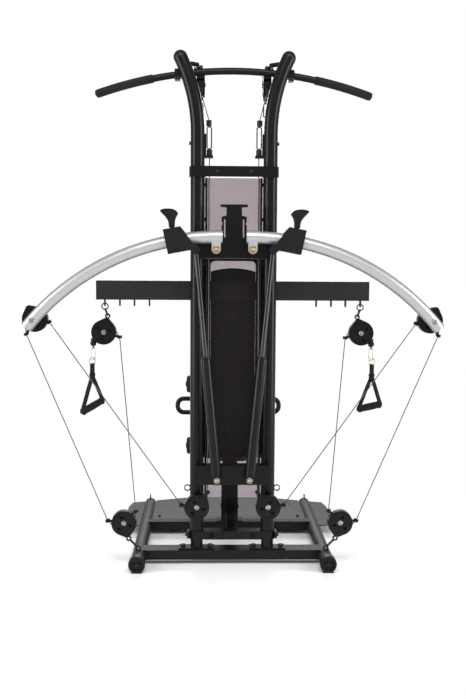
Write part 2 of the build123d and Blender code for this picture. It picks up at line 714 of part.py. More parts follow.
def upper_cable():
    """From the upper stop to the top pulley, over it, and down to its own ball stop."""
    x, y, z = TOP_PULLEY
    front, rear = y - WHEEL_CABLE_R, y + WHEEL_CABLE_R
    rise = cable([(UPPER_STOP[0], 0, UPPER_STOP[2] + 11.6), (x, front, z + EXIT_DROP - 5), (x, front, z)])
    over = ring_arc((x, y, z), (-1, 0, 0), (0, -1, 0), WHEEL_CABLE_R, CABLE_R, 180)
    return fuse([rise, over, rod((x, rear, z), (x, rear, z - 42), CABLE_R)])


def cable_dock():
    """The bracket on the post's inner side that the mast cable's stop rests on."""
    x, z = DOCK[0], DOCK[2]
    post = rod((POST_X, 0, z - 30), (POST_X, 0, z + 80), POST_R)
    plate = block((113, 124), (-15, 15), (z - 24, z + 72)) - post
    shelf = block((x - 15, 114), (-15, 15), (z - 24, z - 14))
    dock = plate + shelf - rod((x + 0.5, -0.4, z - 30), (x + 0.5, -0.4, z), 4)
    return dock - rod((100, 0, 1731), (130, 0, 1731), 5.05)


def cable_stops():
    """The stops on the cables' ends, all turned from plastic."""
    x, z = DOCK[0], DOCK[2]
    lower = rod((x, 0, z - 13.8), (x, 0, z + 10), 11.5)
    ux, uz = UPPER_STOP[0], UPPER_STOP[2]
    upper = rod((ux, 0, uz - 13), (ux, 0, uz + 10), 11)
    side = STORAGE_PULLEY[0] + WHEEL_CABLE_R
    stop = stop_with_eye(side, TAB_Y, STOP_Z)
    tx, ty, tz = TOP_PULLEY
    return [lower, upper, stop, stop_with_eye(tx, ty + WHEEL_CABLE_R, tz - 42)]


def stop_with_eye(x, y, top):
    """A stop on a cable's end, with the eye that a snap hook goes through."""
    return rod((x, y, top - 15), (x, y, top), 11) + ring((x, y, top - EYE_DROP), (1, 0, 0), 6, 2)


def long_link(top, bottom, half, wire):
    """A stretched ring between two points on one vertical line, flat in X and Z."""
    x, y = top[0], top[1]
    z1, z0 = top[2] - half, bottom[2] + half
    bars = [rod((x + s * half, y, z0), (x + s * half, y, z1), wire) for s in (-1, 1)]
    bars += [ring_arc((x, y, z1), (0, 1, 0), (-1, 0, 0), half, wire, 180)]
    bars += [ring_arc((x, y, z0), (0, 1, 0), (1, 0, 0), half, wire, 180)]
    return fuse(bars)


def links():
    """The snap hooks and rings that join the cables and hang the loose pulleys."""
    dock = long_link((DOCK[0] + 1, 0, UPPER_STOP[2] - 15.6), (DOCK[0] + 1, 0, DOCK[2] + 12.6), 9, 2.5)
    upper = ring((STORAGE_PULLEY[0] - 5, TAB_Y, TAB_Z - 13), (0, 1, 0), 13, 2.4)
    lug = lug_point(STORAGE_PULLEY, 103.6)
    top_x, top_z = STORAGE_PULLEY[0] - 5, TAB_Z - 13 - 13 + 5.2
    middle = ((lug[0] + top_x) / 2, TAB_Y, (lug[1] + 1.5 + top_z) / 2)
    reach = math.hypot(lug[0] - top_x, lug[1] + 1.5 - top_z) / 2
    lower = ring(middle, (top_z - lug[1] - 1.5, 0, lug[0] - top_x), reach, 2.4)
    end = TOP_PULLEY[2] - 42 - EYE_DROP - 1.2
    tail = long_link((TOP_PULLEY[0], TOP_PULLEY[1] + WHEEL_CABLE_R, end),
                     (TOP_PULLEY[0], TOP_PULLEY[1] + WHEEL_CABLE_R, end - 60), 9, 2.5)
    return [dock, upper, lower, tail, base_link()]


def lug_point(centre, angle):
    turn = math.radians(angle)
    return (centre[0] + LUG_ARC * math.cos(turn), centre[1] + LUG_ARC * math.sin(turn))


def base_link():
    """The oval link from the outer base pulley's lug to the eyelet on the side tube."""
    lug = Vector(lug_point(OUTER_PULLEY, -106)[0], CABLE_Y, lug_point(OUTER_PULLEY, -106)[1])
    tab = Vector(RUNNER_X, CABLE_Y, RUNNER_Z + RUNNER_R + 12)
    along = (lug - tab).normalized()
    half, wire = 9.0, 2.4
    start, end = tab + along * (half - 2), lug - along * (half - 2)
    side = Vector(0, half, 0)
    flat = along.cross(Vector(0, 1, 0))
    bars = [rod((start + side * s), (end + side * s), wire) for s in (-1, 1)]
    bars += [ring_arc(start, flat, (0, -1, 0), half, wire, 180)]
    bars += [ring_arc(end, flat, (0, 1, 0), half, wire, 180)]
    return fuse(bars)


def handle(way):
    """A stirrup handle on its snap hook: hook, ring, webbing strap and foam grip.

    way is 1 on the right and -1 on the left; both grips slope down to the left."""
    side = STORAGE_PULLEY[0] + WHEEL_CABLE_R
    hook = long_link((side, TAB_Y, STOP_Z - EYE_DROP - 1.2), (side, TAB_Y, 850), 9, 2.4)
    loop = ring((side + 5, TAB_Y, 840), (0, 1, 0), 12, 2.6)
    apex = Vector(side + 7, TAB_Y, 806)
    lean, low, high = way * 4, 651 + way * 17, 651 - way * 17
    outer = Vector(side + 36 - lean, TAB_Y - 48, low)
    inner = Vector(side - 34 - lean, TAB_Y + 48, high)
    along = (outer - inner).normalized()
    body = hook + loop
    strap_top = rod((side + 5, TAB_Y, 830), apex, 5)
    legs = [rod(apex, end, 5) for end in (outer, inner)]
    grip = rod((inner - along * 4), (outer + along * 4), 15)
    return body + fuse([strap_top, ball(apex, 6)] + legs + [grip])


# ---------------------------------------------------------------- top brackets and lat bar

def bar_height(x):
    """The height of the lat bar's centre at a distance x from the middle."""
    return BAR_TOP - BAR_ARC + math.sqrt(BAR_ARC ** 2 - x ** 2)


def bar_arc(first, last, radius):
    """A stretch of the lat bar's arc between two distances from the middle."""
    a0, a1 = math.asin(first / BAR_ARC), math.asin(last / BAR_ARC)
    start = (math.sin(a0), 0, math.cos(a0))
    return ring_arc((0, BAR_Y, BAR_TOP - BAR_ARC), (0, 1, 0), start, BAR_ARC, radius, math.degrees(a1 - a0))


def lat_bar():
    return bar_arc(-BAR_HALF + 3, BAR_HALF - 3, BAR_R)


def lat_grip():
    """A foam grip with a closed end."""
    sleeve = bar_arc(GRIP_START, BAR_HALF, GRIP_R)
    return sleeve - bar_arc(GRIP_START - 5, BAR_HALF - 3, BAR_R)


def cradle():
    """A hook behind a top tube that the lat bar lies in."""
    z = bar_height(CRADLE_X)
    wall, lip = BAR_Y - BAR_R - 7, BAR_Y + BAR_R + 2
    outline = [(wall, z + 20), (wall, z - 24), (lip + 6, z - 24), (lip + 6, z - 4), (lip, z - 4),
               (lip, z - 10), (lip - 6, z - 17), (wall + 11, z - 17), (wall + 5, z - 10), (wall + 5, z + 20)]
    hook = plate_yz(outline, CRADLE_X - 12, CRADLE_X + 12)
    arm_block = block((186, CRADLE_X + 12), (4, wall + 1), (z - 20, z + 12))
    return hook + arm_block - splayed(POST_R)


def top_bracket():
    """The bent bar that holds a top pulley behind its tube."""
    x, y, z = TOP_PULLEY[0] + 14, TOP_PULLEY[1], TOP_PULLEY[2] + LUG_ARC
    bend = (x, 62, z)
    bar = fuse([rod((196, 8, z - 4), bend, 9), ball(bend, 9), rod(bend, (x, y + 12, z), 9)])
    bar += rod((x - 9.6, y, z), (x + 9, y, z), 11)
    return bar - splayed(POST_R) - rod((x - 20, y, z), (x + 20, y, z), AXLE_R + 0.05)


# ---------------------------------------------------------------- bench

def bench_frame():
    """Seat column, its strut to the mast, the roller upright, and the frame behind the back board."""
    lid = 300.0
    column = block((-COLUMN_HALF, COLUMN_HALF), REAR_CROSS, (CROSS_Z1, lid))
    column -= block((-COLUMN_HALF + 4, COLUMN_HALF - 4), (REAR_CROSS[0] + 4, REAR_CROSS[1] - 4), (70, lid))
    collar = block((-COLUMN_HALF - 3, COLUMN_HALF + 3), (REAR_CROSS[0] - 3, REAR_CROSS[1] + 3), (122, 140))
    collar -= block((-COLUMN_HALF + 1, COLUMN_HALF - 1), (REAR_CROSS[0] + 1, REAR_CROSS[1] - 1), (100, 160))
    foot = block((-60, 60), (REAR_CROSS[0], REAR_CROSS[1] + 12), (CROSS_Z1, CROSS_Z1 + 5))
    strut = block((-20, 20), (28, REAR_CROSS[0]), (103, 134))
    rail = block((-20, 20), (REAR_CROSS[1], UPPER_ROLLER[0]), (232, 276))
    upright = block((-20, 20), (UPPER_ROLLER[0] - 20, UPPER_ROLLER[0] + 20), (232, 684))
    height = (LEVER_PIVOT_Z - 16, LEVER_PIVOT_Z + 16)
    face = UPPER_ROLLER[0] + 20
    ears = [block(span, (face, LOWER_ROLLER[0] + 16), height) for span in ((-26, -20), (20, 26))]
    ears += [block(span, (face - 10, face + 0.5), height) for span in ((-26, -19), (19, 26))]
    frame = fuse([column + collar, foot, strut, rail, upright] + ears)
    frame -= rod((-40, LOWER_ROLLER[0], LEVER_PIVOT_Z), (40, LOWER_ROLLER[0], LEVER_PIVOT_Z), 6.05)
    frame += rod((-ROLLER_HALF - 4, *UPPER_ROLLER), (ROLLER_HALF + 4, *UPPER_ROLLER), 12.5)
    for shape in both(seat_handle()):
        frame += shape
    return frame


def seat_handle():
    """A tube loop at hip height beside the roller upright."""
    y, low, high, out, bend = UPPER_ROLLER[0], 511.0, 579.0, 250.0, 30.0
    runs = [rod((19, y, low), (out - bend, y, low), 11.5), rod((19, y, high), (out - bend, y, high), 11.5)]
    runs += [rod((out, y, low + bend), (out, y, high - bend), 11.5)]
    runs += [ring_arc((out - bend, y, high - bend), (0, 1, 0), (0, 0, 1), bend, 11.5, 90)]
    runs += [ring_arc((out - bend, y, low + bend), (0, 1, 0), (1, 0, 0), bend, 11.5, 90)]
    return fuse(runs)


def back_frame():
    """The spine behind the back board, on a cross beam between the posts."""
    spine = block((-30, 30), (31, 64.9), (480, RAIL_Z[0])) - block((-26, 26), (35, 61), (470, RAIL_Z[0]))
    beam = block((-POST_X, POST_X), (31, 61), (440, 514)) - block((-POST_X, POST_X), (34, 58), (443, 511))
    plates = [block((POST_X - 30, POST_X + 20), (28.5, 31), (440, 514))]
    return fuse([beam, spine] + plates + [mirrored(plates[0])])


def back_board():
    """The board of the backrest, with a rounded top."""
    low, high = BACK_Z
    shoulder = high - 14
    face = make_face(
        Line((-BACK_HALF, low), (BACK_HALF, low)) + Line((BACK_HALF, low), (BACK_HALF, shoulder))
        + ThreePointArc((BACK_HALF, shoulder), (0, high), (-BACK_HALF, shoulder))
        + Line((-BACK_HALF, shoulder), (-BACK_HALF, low)))
    board = extrude(plane_xz(65) * face, amount=-14)
    return board - block((-BACK_HALF, BACK_HALF), (60, 67), (RAIL_Z[0] - 400, RAIL_Z[0] - 396))


def back_pad():
    pad = block((-BACK_HALF + 1, BACK_HALF - 1), (79.3, 138), (BACK_Z[0] + 2, BACK_Z[1] - 12))
    return fillet(pad.edges(), 14)


def seat_pad():
    """The seat's cushion, narrower at the back."""
    outline = [(-62, SEAT_Y[0]), (62, SEAT_Y[0]), (150, SEAT_Y[0] + 150), (150, SEAT_Y[1] - 30),
               (110, SEAT_Y[1]), (-110, SEAT_Y[1]), (-150, SEAT_Y[1] - 30), (-150, SEAT_Y[0] + 150)]
    face = make_face(Polyline(*outline, close=True))
    pad = Pos(0, 0, SEAT_TOP - 46) * extrude(face, amount=46)
    return fillet(pad.edges(), 12)


def seat_post():
    """The post that telescopes in the seat column, with the seat plate on it."""
    gap = 4.5
    half = COLUMN_HALF - gap
    post = block((-half, half), (REAR_CROSS[0] + gap, REAR_CROSS[1] - gap), (160, 380))
    plate = block((-110, 110), (300, 600), (378, SEAT_TOP - 46.3))
    knob = rod((0, REAR_CROSS[1], 340), (0, REAR_CROSS[1] + 40, 340), 6)
    knob += rod((0, REAR_CROSS[1] + 32, 340), (0, REAR_CROSS[1] + 56, 340), 15)
    return post + plate + (knob + block((-8, 8), (REAR_CROSS[1] - 6, REAR_CROSS[1] + 4), (332, 348)))


def roller(y, z, bore):
    tube = rod((30, y, z), (ROLLER_HALF, y, z), ROLLER_R)
    return tube - rod((20, y, z), (ROLLER_HALF + 10, y, z), bore)


def leg_lever():
    """The swinging leg lever, its roller tube and its two foam rollers."""
    y, z = LOWER_ROLLER
    lever = block((-18, 18), (y - 16, y + 16), (z - 20, LEVER_PIVOT_Z + 10))
    lever += rod((-18, y, LEVER_PIVOT_Z), (18, y, LEVER_PIVOT_Z), 16)
    lever -= rod((-40, y, LEVER_PIVOT_Z), (40, y, LEVER_PIVOT_Z), 6.05)
    lever += rod((-ROLLER_HALF - 4, y, z), (ROLLER_HALF + 4, y, z), 12.5)
    return [lever] + both(roller(y, z, 12.55))


# ---------------------------------------------------------------- bolts

def bolt_y(x, z, y0, y1, radius, head):
    """A bolt along Y with its head at y0 and its nut at y1."""
    shank = pin_y(x, z, y0, y1, radius)
    return shank + pin_y(x, z, y0 - 5, y0, head) + pin_y(x, z, y1, y1 + 5, head)


def bolts():
    """Every bolt and pin that stays with the frame."""
    near, far = CABLE_Y - HOUSING_HALF - 0.1, CABLE_Y + HOUSING_HALF + 0.1
    right = [bolt_y(PIVOT_X, PIVOT_Z, -143.3, -22, 8, 12), bolt_y(SPRING_X, SPRING_Z, -143.3, -22, 8, 12)]
    right += [bolt_y(*OUTER_PULLEY, near, far, AXLE_R, 9)]
    right += [bolt_y(*STORAGE_PULLEY, TAB_Y - HOUSING_HALF - 0.1, TAB_Y + HOUSING_HALF + 0.1, AXLE_R, 9)]
    right += [pin_y(*INNER_PULLEY, near - 5, near, 9) + pin_y(*INNER_PULLEY, near, -30, AXLE_R)]
    right += [pin_y(*INNER_PULLEY, far, -28.7, 16) - pin_y(*INNER_PULLEY, far - 1, -28, AXLE_R)]
    x, y, z = TOP_PULLEY
    right += [rod((x - 20, y, z), (x + 20, y, z), AXLE_R) + rod((x - 20, y, z), (x - 15.1, y, z), 9)
              + rod((x + 15.1, y, z), (x + 20, y, z), 9)]
    right += [rod((x - 9, y, z + LUG_ARC), (x + 28, y, z + LUG_ARC), AXLE_R)
              + rod((x - 9, y, z + LUG_ARC), (x - 4.1, y, z + LUG_ARC), 9)]
    right += [rod((113.5, 0, 1731), (POST_X - POST_R, 0, 1731), 5)]
    right += [rod((POST_X + POST_R, 0, 1731), (POST_X + POST_R + 6, 0, 1731), 7)]
    right += [pin_y(POST_X - 12, 1408, -32, -26, 6) - rod((POST_X, 0, 1390), (POST_X, 0, 1420), POST_R)]
    for side in (-57, 57):
        spot = POST_X + side
        right += [rod((spot, -3, CROSS_Z1 + 6), (spot, -3, CROSS_Z1 + 16), 10)]
    right += [rod((POST_X + 40, -9, 118), (POST_X + 47, -9, 118), 7)]
    shapes = []
    for shape in right:
        shapes += both(shape)
    pivot = rod((-31, LOWER_ROLLER[0], LEVER_PIVOT_Z), (31, LOWER_ROLLER[0], LEVER_PIVOT_Z), 6)
    pivot += rod((-31, LOWER_ROLLER[0], LEVER_PIVOT_Z), (-26.1, LOWER_ROLLER[0], LEVER_PIVOT_Z), 10)
    pivot += rod((26.1, LOWER_ROLLER[0], LEVER_PIVOT_Z), (31, LOWER_ROLLER[0], LEVER_PIVOT_Z), 10)
    return shapes + [pivot]


# ---------------------------------------------------------------- files

def build_frame():
    save("side_tubes", both(side_tube()))
    save("cross_tubes", [cross_tube(FRONT_CROSS), cross_tube(REAR_CROSS)])
    caps = [front_foot(), rear_foot(), post_cap(), rail_plug()]
    save("end_caps", [piece for cap in caps for piece in both(cap)])
    save("platform", platform())
    save("bolts", bolts())
    save("stub_tubes", both(stub_tube()))
    save("lower_clamp", lower_clamp())
    save("upper_clamp", upper_clamp())
    save("mast_posts", both(mast_post()))
    save("top_tubes", both(top_tube()))
    save("hub_beam", hub_beam())
    save("latch_plate", latch_plate())
    save("hook_rail", hook_rail())
    save("mesh_screen", mesh_screen())
    save("mesh_rails", both(mesh_rail()))
    save("spring_bracket", spring_bracket())


def build_cables():
    save("pulley_housings", root_housings())
    save("cable_docks", both(cable_dock()))
    fittings = cable_stops() + links()
    save("cable_fittings", [piece for shape in fittings for piece in both(shape)])
    routes = [mast_cable(), side_cable(), upper_cable()]
    save("fixed_cables", [piece for route in routes for piece in both(route)])
    save("top_brackets", both(cradle()) + both(top_bracket()))
    save_pair("cable_inner", arm_cable(INNER_GUIDE, ARM_GUIDE_IN))
    save_pair("cable_outer", arm_cable(OUTER_GUIDE, ARM_GUIDE_OUT))
    spots = {"arm": (*ARM_PULLEY, CABLE_Y), "inner": (*INNER_PULLEY, CABLE_Y),
             "outer": (*OUTER_PULLEY, CABLE_Y), "storage": (*STORAGE_PULLEY, TAB_Y)}
    for name, spot in spots.items():
        save_pair(f"wheel_{name}", placed(wheel(), *spot))
    save_pair("wheel_top", top_placed(wheel()))


def build_arms():
    for name, shape in (("arm", arm()), ("clamp", clamp()), ("pull_lever", pull_lever()),
                        ("spring_gland", spring_gland()), ("spring_cylinder", spring_cylinder()),
                        ("spring_rod", spring_rod())):
        save_pair(name, shape)
    save("handle_right", handle(1))
    save("handle_left", mirrored(handle(-1)))
    pieces = arm_end_housing()
    save("arm_end_right", pieces)
    save("arm_end_left", [mirrored(piece) for piece in pieces])
    save("lat_bar", lat_bar())
    save("lat_grips", both(lat_grip()))


def build_bench():
    save("bench_frame", [bench_frame(), back_frame()])
    save("back_board", back_board())
    save("back_pad", back_pad())
    save("seat_post", seat_post())
    save("seat_pad", seat_pad())
    save("thigh_rollers", both(roller(*UPPER_ROLLER, 12.55)))
    save("leg_lever", leg_lever())


os.makedirs("parts", exist_ok=True)
build_frame()
build_cables()
build_arms()
build_bench()
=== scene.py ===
import math

import bmesh
import bpy
from mathutils import Euler, Matrix, Vector, noise


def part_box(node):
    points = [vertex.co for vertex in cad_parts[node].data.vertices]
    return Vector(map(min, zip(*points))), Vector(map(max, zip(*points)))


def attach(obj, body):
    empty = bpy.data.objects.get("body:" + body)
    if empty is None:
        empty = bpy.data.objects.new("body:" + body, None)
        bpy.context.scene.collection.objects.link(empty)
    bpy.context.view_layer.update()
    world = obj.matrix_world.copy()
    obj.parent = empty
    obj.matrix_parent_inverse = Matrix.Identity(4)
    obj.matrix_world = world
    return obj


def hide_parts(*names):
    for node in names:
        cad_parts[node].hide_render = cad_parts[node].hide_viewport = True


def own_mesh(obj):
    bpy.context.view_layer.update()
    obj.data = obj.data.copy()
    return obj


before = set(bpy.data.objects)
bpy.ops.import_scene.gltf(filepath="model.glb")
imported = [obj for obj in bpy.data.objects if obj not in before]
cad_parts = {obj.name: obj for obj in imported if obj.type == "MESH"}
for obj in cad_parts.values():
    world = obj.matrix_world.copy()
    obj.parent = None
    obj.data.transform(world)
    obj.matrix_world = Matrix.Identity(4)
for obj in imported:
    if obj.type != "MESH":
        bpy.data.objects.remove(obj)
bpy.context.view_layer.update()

# Multi station home gym: finishes, cushions, foam, webbing, mesh cloth and cables on the CAD frame.
# Metres, in the frame's own axes: +Z up, +X to the right, the bench on the +Y side.
# Places that part.py measures from the mast plane are written as MAST_Y plus that distance.
MM = 0.001
MAST_Y = -0.385
SIDES = (("left", -1), ("right", 1))

STORAGE_X = 0.579
TAB_Y = MAST_Y + 0.044
CABLE_Y = MAST_Y - 0.057
ARM_Y = MAST_Y - 0.122
ARM_PIVOT = (0.0725, 1.303)
ARC_CENTRE = (0.066, 0.376)
ARC_R = 0.976
CLOTH_REACH = 0.014
CLAMP_SCREW_X = 0.068
CABLE_R = 2.0 * MM
ROLLER_R = 42.2 * MM
ROLLER_ENDS = (0.030, 0.2065)
UPPER_ROLLER = (MAST_Y + 0.785, 0.652)
LOWER_ROLLER = (MAST_Y + 0.830, 0.336)
LEVER_PIVOT_Z = 0.470
BAR_ARC = 1.650
BAR_TOP = 2.028
BAR_Y = MAST_Y + 0.050
BAR_HALF = 0.565
GRIP_START = 0.330
INNER_SPAN = ((0.212, 0.256), (0.744, 1.008))
OUTER_SPAN = ((0.513, 0.190), (0.837, 0.959))
SPAN_GAP = 0.003


# ---------------------------------------------------------------- camera, lights and floor

def add_camera():
    camera = bpy.data.objects.new("camera", bpy.data.cameras.new("camera"))
    camera.data.lens = 49.96
    camera.data.sensor_width = 36
    camera.data.clip_end = 60
    turn = Euler((math.radians(90 - 5.1), 0, math.radians(-1.6))).to_matrix().to_4x4()
    roll = Matrix.Rotation(math.radians(0.35), 4, "Z")
    camera.matrix_world = Matrix.Translation((-0.1113, MAST_Y - 3.985, 1.250)) @ turn @ roll
    bpy.context.scene.collection.objects.link(camera)
    bpy.context.scene.camera = camera


def add_light(name, place, target, size, power):
    """A soft box: a square area lamp at place, facing target."""
    data = bpy.data.lights.new(name, "AREA")
    data.shape = "RECTANGLE"
    data.size, data.size_y = size
    data.energy = power
    lamp = bpy.data.objects.new(name, data)
    facing = (Vector(target) - Vector(place)).to_track_quat("-Z", "Y")
    lamp.matrix_world = Matrix.Translation(place) @ facing.to_matrix().to_4x4()
    bpy.context.scene.collection.objects.link(lamp)


def add_studio():
    world = bpy.data.worlds.new("studio")
    world.use_nodes = True
    tree = world.node_tree
    background = tree.nodes["Background"]
    background.inputs["Color"].default_value = (1, 1, 1, 1)
    seen = tree.nodes.new("ShaderNodeLightPath").outputs["Is Camera Ray"]
    tree.links.new(spread(tree, seen, 0.42, 1.0), background.inputs["Strength"])
    bpy.context.scene.world = world
    bpy.context.scene.view_settings.view_transform = "Standard"
    middle = (0, 0, 1.0)
    add_light("left_box", (-3.4, -1.9, 1.6), middle, (1.5, 3.0), 95)
    add_light("right_box", (3.4, -1.9, 1.6), middle, (1.5, 3.0), 95)
    add_light("top_box", (0, -3.1, 4.2), middle, (3.2, 1.8), 105)
    add_light("back_box", (0, 3.8, 2.8), middle, (3.0, 1.2), 90)


def add_floor():
    half = 30.0
    mesh = bpy.data.meshes.new("floor")
    corners = [(-half, -half, 0), (half, -half, 0), (half, half, 0), (-half, half, 0)]
    mesh.from_pydata(corners, [], [(0, 1, 2, 3)])
    floor = bpy.data.objects.new("floor", mesh)
    bpy.context.scene.collection.objects.link(floor)
    material, shader, tree = start_material("floor", (0.95, 0.95, 0.95), 0.0, 0.6)
    glow = tree.nodes.new("ShaderNodeEmission")
    glow.inputs["Color"].default_value = (1, 1, 1, 1)
    length = tree.nodes.new("ShaderNodeVectorMath")
    length.operation = "LENGTH"
    tree.links.new(tree.nodes.new("ShaderNodeNewGeometry").outputs["Position"], length.inputs[0])
    fade = tree.nodes.new("ShaderNodeMapRange")
    fade.interpolation_type = "SMOOTHSTEP"
    fade.inputs["From Min"].default_value = 0.7
    fade.inputs["From Max"].default_value = 1.9
    tree.links.new(length.outputs["Value"], fade.inputs["Value"])
    mix = tree.nodes.new("ShaderNodeMixShader")
    tree.links.new(fade.outputs["Result"], mix.inputs["Fac"])
    tree.links.new(shader.outputs["BSDF"], mix.inputs[1])
    tree.links.new(glow.outputs["Emission"], mix.inputs[2])
    tree.links.new(mix.outputs["Shader"], tree.nodes["Material Output"].inputs["Surface"])
    mesh.materials.append(material)


# ---------------------------------------------------------------- material building blocks

def start_material(name, colour, metallic, roughness):
    """A material with one Principled shader: (material, shader, node tree)."""
    material = bpy.data.materials.new(name)
    material.use_nodes = True
    tree = material.node_tree
    shader = tree.nodes["Principled BSDF"]
    shader.inputs["Base Color"].default_value = (*colour, 1)
    shader.inputs["Metallic"].default_value = metallic
    shader.inputs["Roughness"].default_value = roughness
    return material, shader, tree


def places(tree, scale=(1, 1, 1)):
    """The surface's own coordinates, stretched by scale."""
    coordinates = tree.nodes.new("ShaderNodeTexCoord")
    mapping = tree.nodes.new("ShaderNodeMapping")
    mapping.inputs["Scale"].default_value = scale
    tree.links.new(coordinates.outputs["Object"], mapping.inputs["Vector"])
    return mapping.outputs["Vector"]


def noise_of(tree, vector, scale, detail=4.0, rough=0.55):
    node = tree.nodes.new("ShaderNodeTexNoise")
    node.inputs["Scale"].default_value = scale
    node.inputs["Detail"].default_value = detail
    node.inputs["Roughness"].default_value = rough
    tree.links.new(vector, node.inputs["Vector"])
    return node.outputs["Fac"]


def cells_of(tree, vector, scale):
    node = tree.nodes.new("ShaderNodeTexVoronoi")
    node.inputs["Scale"].default_value = scale
    tree.links.new(vector, node.inputs["Vector"])
    return node.outputs["Distance"]


def waves_of(tree, vector, scale, direction):
    node = tree.nodes.new("ShaderNodeTexWave")
    node.bands_direction = direction
    node.inputs["Scale"].default_value = scale
    tree.links.new(vector, node.inputs["Vector"])
    return node.outputs["Fac"]


def ramp(tree, value, stops):
    """A colour ramp over value; stops are (place, colour) pairs."""
    node = tree.nodes.new("ShaderNodeValToRGB")
    elements = node.color_ramp.elements
    while len(elements) < len(stops):
        elements.new(0.5)
    for element, (place, colour) in zip(elements, stops):
        element.position = place
        element.color = (*colour, 1) if len(colour) == 3 else colour
    tree.links.new(value, node.inputs["Fac"])
    return node.outputs["Color"]


def spread(tree, value, low, high):
    """value from 0..1 moved to low..high."""
    node = tree.nodes.new("ShaderNodeMapRange")
    node.inputs["To Min"].default_value = low
    node.inputs["To Max"].default_value = high
    tree.links.new(value, node.inputs["Value"])
    return node.outputs["Result"]


def combine(tree, operation, first, second):
    node = tree.nodes.new("ShaderNodeMath")
    node.operation = operation
    for socket, value in zip(node.inputs, (first, second)):
        if isinstance(value, float):
            socket.default_value = value
        else:
            tree.links.new(value, socket)
    return node.outputs["Value"]


def add_bump(tree, shader, height, strength, distance):
    node = tree.nodes.new("ShaderNodeBump")
    node.inputs["Strength"].default_value = strength
    node.inputs["Distance"].default_value = distance
    tree.links.new(height, node.inputs["Height"])
    tree.links.new(node.outputs["Normal"], shader.inputs["Normal"])


def shade(colour, factor):
    return tuple(min(1.0, channel * factor) for channel in colour)


# ---------------------------------------------------------------- materials

def coated_metal(name, colour, roughness, metallic=0.0, grain=900.0, peel=0.25, variation=0.12, gloss=0.25):
    """Powder coat or paint: fine orange peel, with a slow change of tone and gloss."""
    material, shader, tree = start_material(name, colour, metallic, roughness)
    vector = places(tree)
    slow = noise_of(tree, vector, 9.0)
    tone = ramp(tree, slow, [(0.3, shade(colour, 1 - variation)), (0.7, shade(colour, 1 + variation))])
    tree.links.new(tone, shader.inputs["Base Color"])
    smudge = noise_of(tree, vector, 34.0, 5.0)
    tree.links.new(spread(tree, smudge, roughness * 0.82, roughness * 1.2), shader.inputs["Roughness"])
    add_bump(tree, shader, noise_of(tree, vector, grain, 2.0), peel, 0.0002)
    shader.inputs["Specular IOR Level"].default_value = gloss
    return material


def silver_coat(name, colour, roughness):
    """Silver paint: fine flakes, with painted shade darkening the colour where the surface turns away from
    the view.
    """
    material, shader, tree = start_material(name, colour, 0.7, roughness)
    vector = places(tree)
    # painted shade: the base colour drops to 0.42 of itself towards grazing angles, so the tube's edges look
    # shaded
    turn = tree.nodes.new("ShaderNodeLayerWeight").outputs["Facing"]
    tone = ramp(tree, turn, [(0.45, colour), (0.92, shade(colour, 0.42))])
    tree.links.new(tone, shader.inputs["Base Color"])
    tree.links.new(spread(tree, noise_of(tree, vector, 34.0, 5.0), roughness * 0.9, roughness * 1.1),
                   shader.inputs["Roughness"])
    add_bump(tree, shader, noise_of(tree, vector, 900.0, 2.0), 0.02, 0.0002)
    shader.inputs["Specular Tint"].default_value = (0.45, 0.45, 0.46, 1)
    return material


def moulded_plastic(name, colour, roughness):
    """Spark-textured plastic."""
    material, shader, tree = start_material(name, colour, 0.0, roughness)
    vector = places(tree)
    pits = cells_of(tree, vector, 1100.0)
    tone = ramp(tree, noise_of(tree, vector, 22.0), [(0.3, shade(colour, 0.85)), (0.7, shade(colour, 1.2))])
    tree.links.new(tone, shader.inputs["Base Color"])
    tree.links.new(spread(tree, noise_of(tree, vector, 60.0), roughness * 0.85, roughness * 1.15),
                   shader.inputs["Roughness"])
    add_bump(tree, shader, pits, 0.3, 0.0002)
    shader.inputs["Specular IOR Level"].default_value = 0.25
    return material


def plated_steel(name, colour, roughness):
    """Zinc plate, with faint brush lines and spots of a warmer passivate."""
    material, shader, tree = start_material(name, colour, 1.0, roughness)
    vector = places(tree)
    patches = noise_of(tree, vector, 70.0)
    warm = (colour[0], colour[1] * 0.93, colour[2] * 0.76)
    tree.links.new(ramp(tree, patches, [(0.35, colour), (0.7, warm)]), shader.inputs["Base Color"])
    brushed = noise_of(tree, places(tree, (1, 14, 1)), 420.0, 2.0)
    tree.links.new(spread(tree, brushed, roughness * 0.8, roughness * 1.3), shader.inputs["Roughness"])
    add_bump(tree, shader, brushed, 0.15, 0.0001)
    return material


def wire_rope(name, colour):
    """Twisted wire under a clear sheath."""
    material, shader, tree = start_material(name, colour, 0.35, 0.34)
    vector = places(tree)
    strands = waves_of(tree, vector, 520.0, "DIAGONAL")
    tree.links.new(ramp(tree, strands, [(0.0, shade(colour, 0.45)), (1.0, shade(colour, 1.35))]),
                   shader.inputs["Base Color"])
    shader.inputs["Coat Weight"].default_value = 0.6
    shader.inputs["Coat Roughness"].default_value = 0.2
    add_bump(tree, shader, strands, 0.4, 0.0002)
    return material


def foam_rubber(name, colour):
    """Closed-cell foam: fine open pores and a dull skin."""
    material, shader, tree = start_material(name, colour, 0.0, 0.78)
    vector = places(tree)
    pores = cells_of(tree, vector, 620.0)
    cloud = noise_of(tree, vector, 30.0)
    tree.links.new(ramp(tree, cloud, [(0.3, shade(colour, 0.75)), (0.75, shade(colour, 1.35))]),
                   shader.inputs["Base Color"])
    tree.links.new(spread(tree, pores, 0.9, 0.62), shader.inputs["Roughness"])
    height = combine(tree, "ADD", pores, noise_of(tree, vector, 160.0))
    add_bump(tree, shader, height, 0.45, 0.0005)
    shader.inputs["Sheen Weight"].default_value = 0.06
    shader.inputs["Specular IOR Level"].default_value = 0.2
    return material


